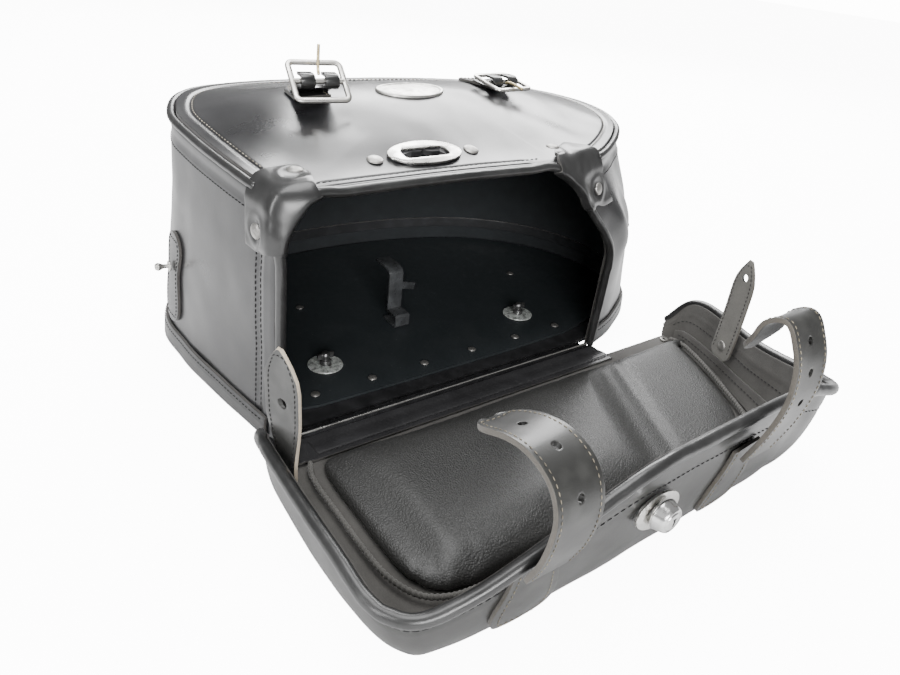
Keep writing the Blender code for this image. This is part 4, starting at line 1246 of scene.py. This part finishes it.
def punch(obj, places, radius, depth=9.0):
    """Punches round holes through a piece at (place, direction) pairs, in millimetres."""
    shape = bmesh.new()
    for place, way in places:
        turn = Vector(way).to_track_quat("Z", "Y").to_matrix().to_4x4()
        bmesh.ops.create_cone(shape, cap_ends=True, segments=20, radius1=radius * MM,
                              radius2=radius * MM, depth=depth * MM,
                              matrix=Matrix.Translation(Vector(place) * MM) @ turn)
    tool_mesh = bpy.data.meshes.new("punch")
    shape.to_mesh(tool_mesh)
    shape.free()
    carve(obj, add_object("punch", tool_mesh))


for side, (x, crease, profile, holes) in STRAPS.items():
    free = flowing([profile], STRAP_ROWS)[0]
    length = np.linspace(0, 1, len(free))
    tip = np.clip(1 - ((length - TIP_START) / TIP_LENGTH) ** 2, 0.06, 1)
    taper = np.where(length < TIP_START, 1.0, np.sqrt(tip))
    columns = np.linspace(-1, 1, 25)
    rows = [[(x + STRAP_HALF * w * k, y, z) for k in columns] for (y, z), w in zip(free, taper)]
    strap = np.array(rows)[:, ::-1]
    outward_face = facing(strap)
    cupped = 1.12 * (columns[None] ** 2 - 0.4) * length[:, None]
    wave = 0.5 * lumps(strap, 26.0, 2.2) + cupped
    strap = strap + outward_face * (STRAP_THICK + wave)[..., None]
    piece = leather_sheet(f"closing_strap_{side}", strap, STRAP_THICK, STRAP_SIDES, edge=0.7)
    normal = facing(strap)
    middle = 12
    spots = []
    for hole in holes:
        row = int(hole * STRAP_ROWS)
        spots.append((strap[row, middle] - normal[row, middle] * 1.5, normal[row, middle]))
    punch(piece, spots, 2.4)
    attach(piece, f"strap_{side}")
    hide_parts(f"strap_{side}")
    sewn = on_face(strap, 0.2)
    strap_row = sew(f"strap_stitches_{side}", [sewn[2:-5, 2], sewn[2:-5, -3], sewn[-5, 3:-3]],
                    tan_thread, *STRAP_STITCH)
    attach(strap_row, f"strap_{side}")

    heights = np.linspace(7, crease + 7, 46)
    rows = []
    for z in heights:
        low = (z - heights[0]) / 20
        rounding = math.sqrt(max(0.03, 1 - (1 - min(low, 1.0)) ** 2))
        half = (STRAP_HALF + 5.5 * float(ease((crease - 2 - z) / 30))) * rounding
        rows.append([(x + half * k, lid_face(x + half * k, min(z, crease - 2)) - 2.6
                      - 0.12 * max(0.0, z - crease + 4), z) for k in columns])
    root = np.array(rows)[:, ::-1]
    smooth_y = root[..., 1].copy()
    for _ in range(6):
        smooth_y[1:-1] = (smooth_y[:-2] + 2 * smooth_y[1:-1] + smooth_y[2:]) / 4
        smooth_y[:, 1:-1] = (smooth_y[:, :-2] + 2 * smooth_y[:, 1:-1] + smooth_y[:, 2:]) / 4
    root[..., 1] = smooth_y
    root_piece = leather_sheet(f"strap_root_{side}", root, 2.4, STRAP_SIDES, edge=0.7)
    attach(root_piece, "lid")
    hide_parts(f"strap_patch_{side}")
    sewn = on_face(root, 0.2)
    border = np.concatenate([sewn[:6:-1, 3], sewn[6, 4:-4], sewn[7:, -4]])
    root_row = sew(f"root_stitches_{side}", [border], tan_thread, *STRAP_STITCH)
    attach(root_row, "lid")

# ---------------------------------------------------------------- lid lock
# A bright lock barrel stands on an eared plate on the lid's front. Its face has a ring and a plain
# key slot, and its core carries a flat tongue inside the lid.

lock_low, lock_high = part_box("lock_knob")
refined("lock_plate", "lock_base", "lid", nickel_plate, 0.6, 0)
BARREL_PROFILE = [(3.6, -12.2), (3.6, 1.4), (10.3, 1.6), (10.8, 2.2), (10.8, 3.0), (10.2, 4.4),
                  (9.3, 7.4), (8.7, 9.0), (8.0, 9.9), (7.2, 10.1), (6.9, 9.7), (6.4, 9.7),
                  (6.1, 10.2), (5.4, 10.7), (3.0, 10.9), (0.6, 11.0)]
lock_chrome = plated("lock_chrome", (0.80, 0.80, 0.79), 0.1, 0.8, 90)
barrel = turned("lock_barrel", BARREL_PROFILE, lock_chrome, steps=72)
key_slot = [(-0.8, -2.8), (0.8, -2.8), (0.8, 2.0), (1.6, 2.4), (1.6, 3.2), (-1.6, 3.2), (-1.6, 2.4),
            (-0.8, 2.0)]
cut_out(barrel, key_slot, (0, 0), 8.6, 13)
barrel.data.transform(Matrix.Translation(((lock_low[0] + lock_high[0]) / 2, lock_low[1] + 11.5 * MM,
                                          (lock_low[2] + lock_high[2]) / 2))
                      @ Matrix.Rotation(math.radians(90), 4, "X"))
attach(barrel, "lock_core")
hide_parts("lock_knob")
refined("lock_cam", "lock_tongue", "lock_core", nickel_plate, 0.5, 0)

# ---------------------------------------------------------------- side tabs
# A double leather tab, sewn round its border, is riveted inside each end of the lid's gusset. It
# stands up past the rim, ends in a blunt point, and has a buttonhole for the stud on the wall.

TAB_LOW = -12
TAB_HIGH = 86
TABS = {
    "left": ((-203.2, -130.0, 35.0), 90.0, -1, 23.0, 47.0, 3.0),
    "right": ((208.5, -174.0, 38.0), 70.0, 1, 15.0, 70.0, 0.0),
}
tab_face = grain_leather("tab_face", (0.030, 0.030, 0.029), 0.42, 0.9, 0.06, 0.7, 2.2)
tab_suede = rough_leather("tab_suede", (0.135, 0.13, 0.118))
raw_edge = rough_leather("raw_edge", (0.42, 0.36, 0.28))
for side, (at, turn, outer, fold, hole, lean) in TABS.items():
    way = np.array([math.cos(math.radians(turn)), math.sin(math.radians(turn)), 0])
    out = outer * np.array([way[1], -way[0], 0])
    heights = np.linspace(TAB_LOW, TAB_HIGH, 90)
    widths = np.interp(heights, [TAB_LOW, -10.5, -8, -4, 60, 68, 76, 82, 85, TAB_HIGH],
                       [7, 11, 13.8, 15, 15, 13.6, 9.6, 5.2, 2.4, 1.2])
    columns = np.linspace(-1, 1, 19)
    rows = []
    for v, w in zip(heights, widths * (1.0 if side == "left" else 0.86)):
        twist = math.radians(18 if side == "left" else 0) * float(ease(v / 40))
        level = np.array([math.cos(math.radians(turn) + twist),
                          math.sin(math.radians(turn) + twist), 0])
        bow = (1.2 if side == "left" else 0.1) + lean * (max(v, 0) / TAB_HIGH) ** 2
        bow += 0.5 * math.sin(v / 17)
        rows.append([np.array(at) + level * w * k + out * (bow + 0.4 * k * k) + [0, 0, v]
                     for k in columns])
    tab = towards(np.array(rows), out)
    rim_finish = raw_edge if side == "left" else strap_edge
    piece = leather_sheet(f"side_tab_{side}", tab, 2.4, [tab_face, tab_suede, rim_finish], edge=0.5)
    hole_at = np.array(at) + [0, 0, hole]
    punch(piece, [(hole_at, out)], 3.6)
    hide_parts(f"tab_{side}", f"tab_base_{side}")
    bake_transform(piece)
    outer_sewn = on_face(tab, 0.2)
    inner_sewn = tab - facing(tab) * 2.6
    seams = []
    for sewn in (outer_sewn, inner_sewn):
        seams.append(np.concatenate([sewn[8:-5, 2], sewn[-5, 3:-3], sewn[-6:8:-1, -3]]))
    tab_row = sew(f"tab_stitches_{side}", seams, black_thread, *HEAVY_STITCH)
    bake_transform(tab_row)
    refined(f"tab_stud_{side}", f"tab_rivet_{side}", f"tab_base_{side}", dark_nickel, 0.3, 2)
    refined(f"corner_ring_{side}", f"lid_eyelet_{side}", "lid", dark_nickel, 0.2, 0)
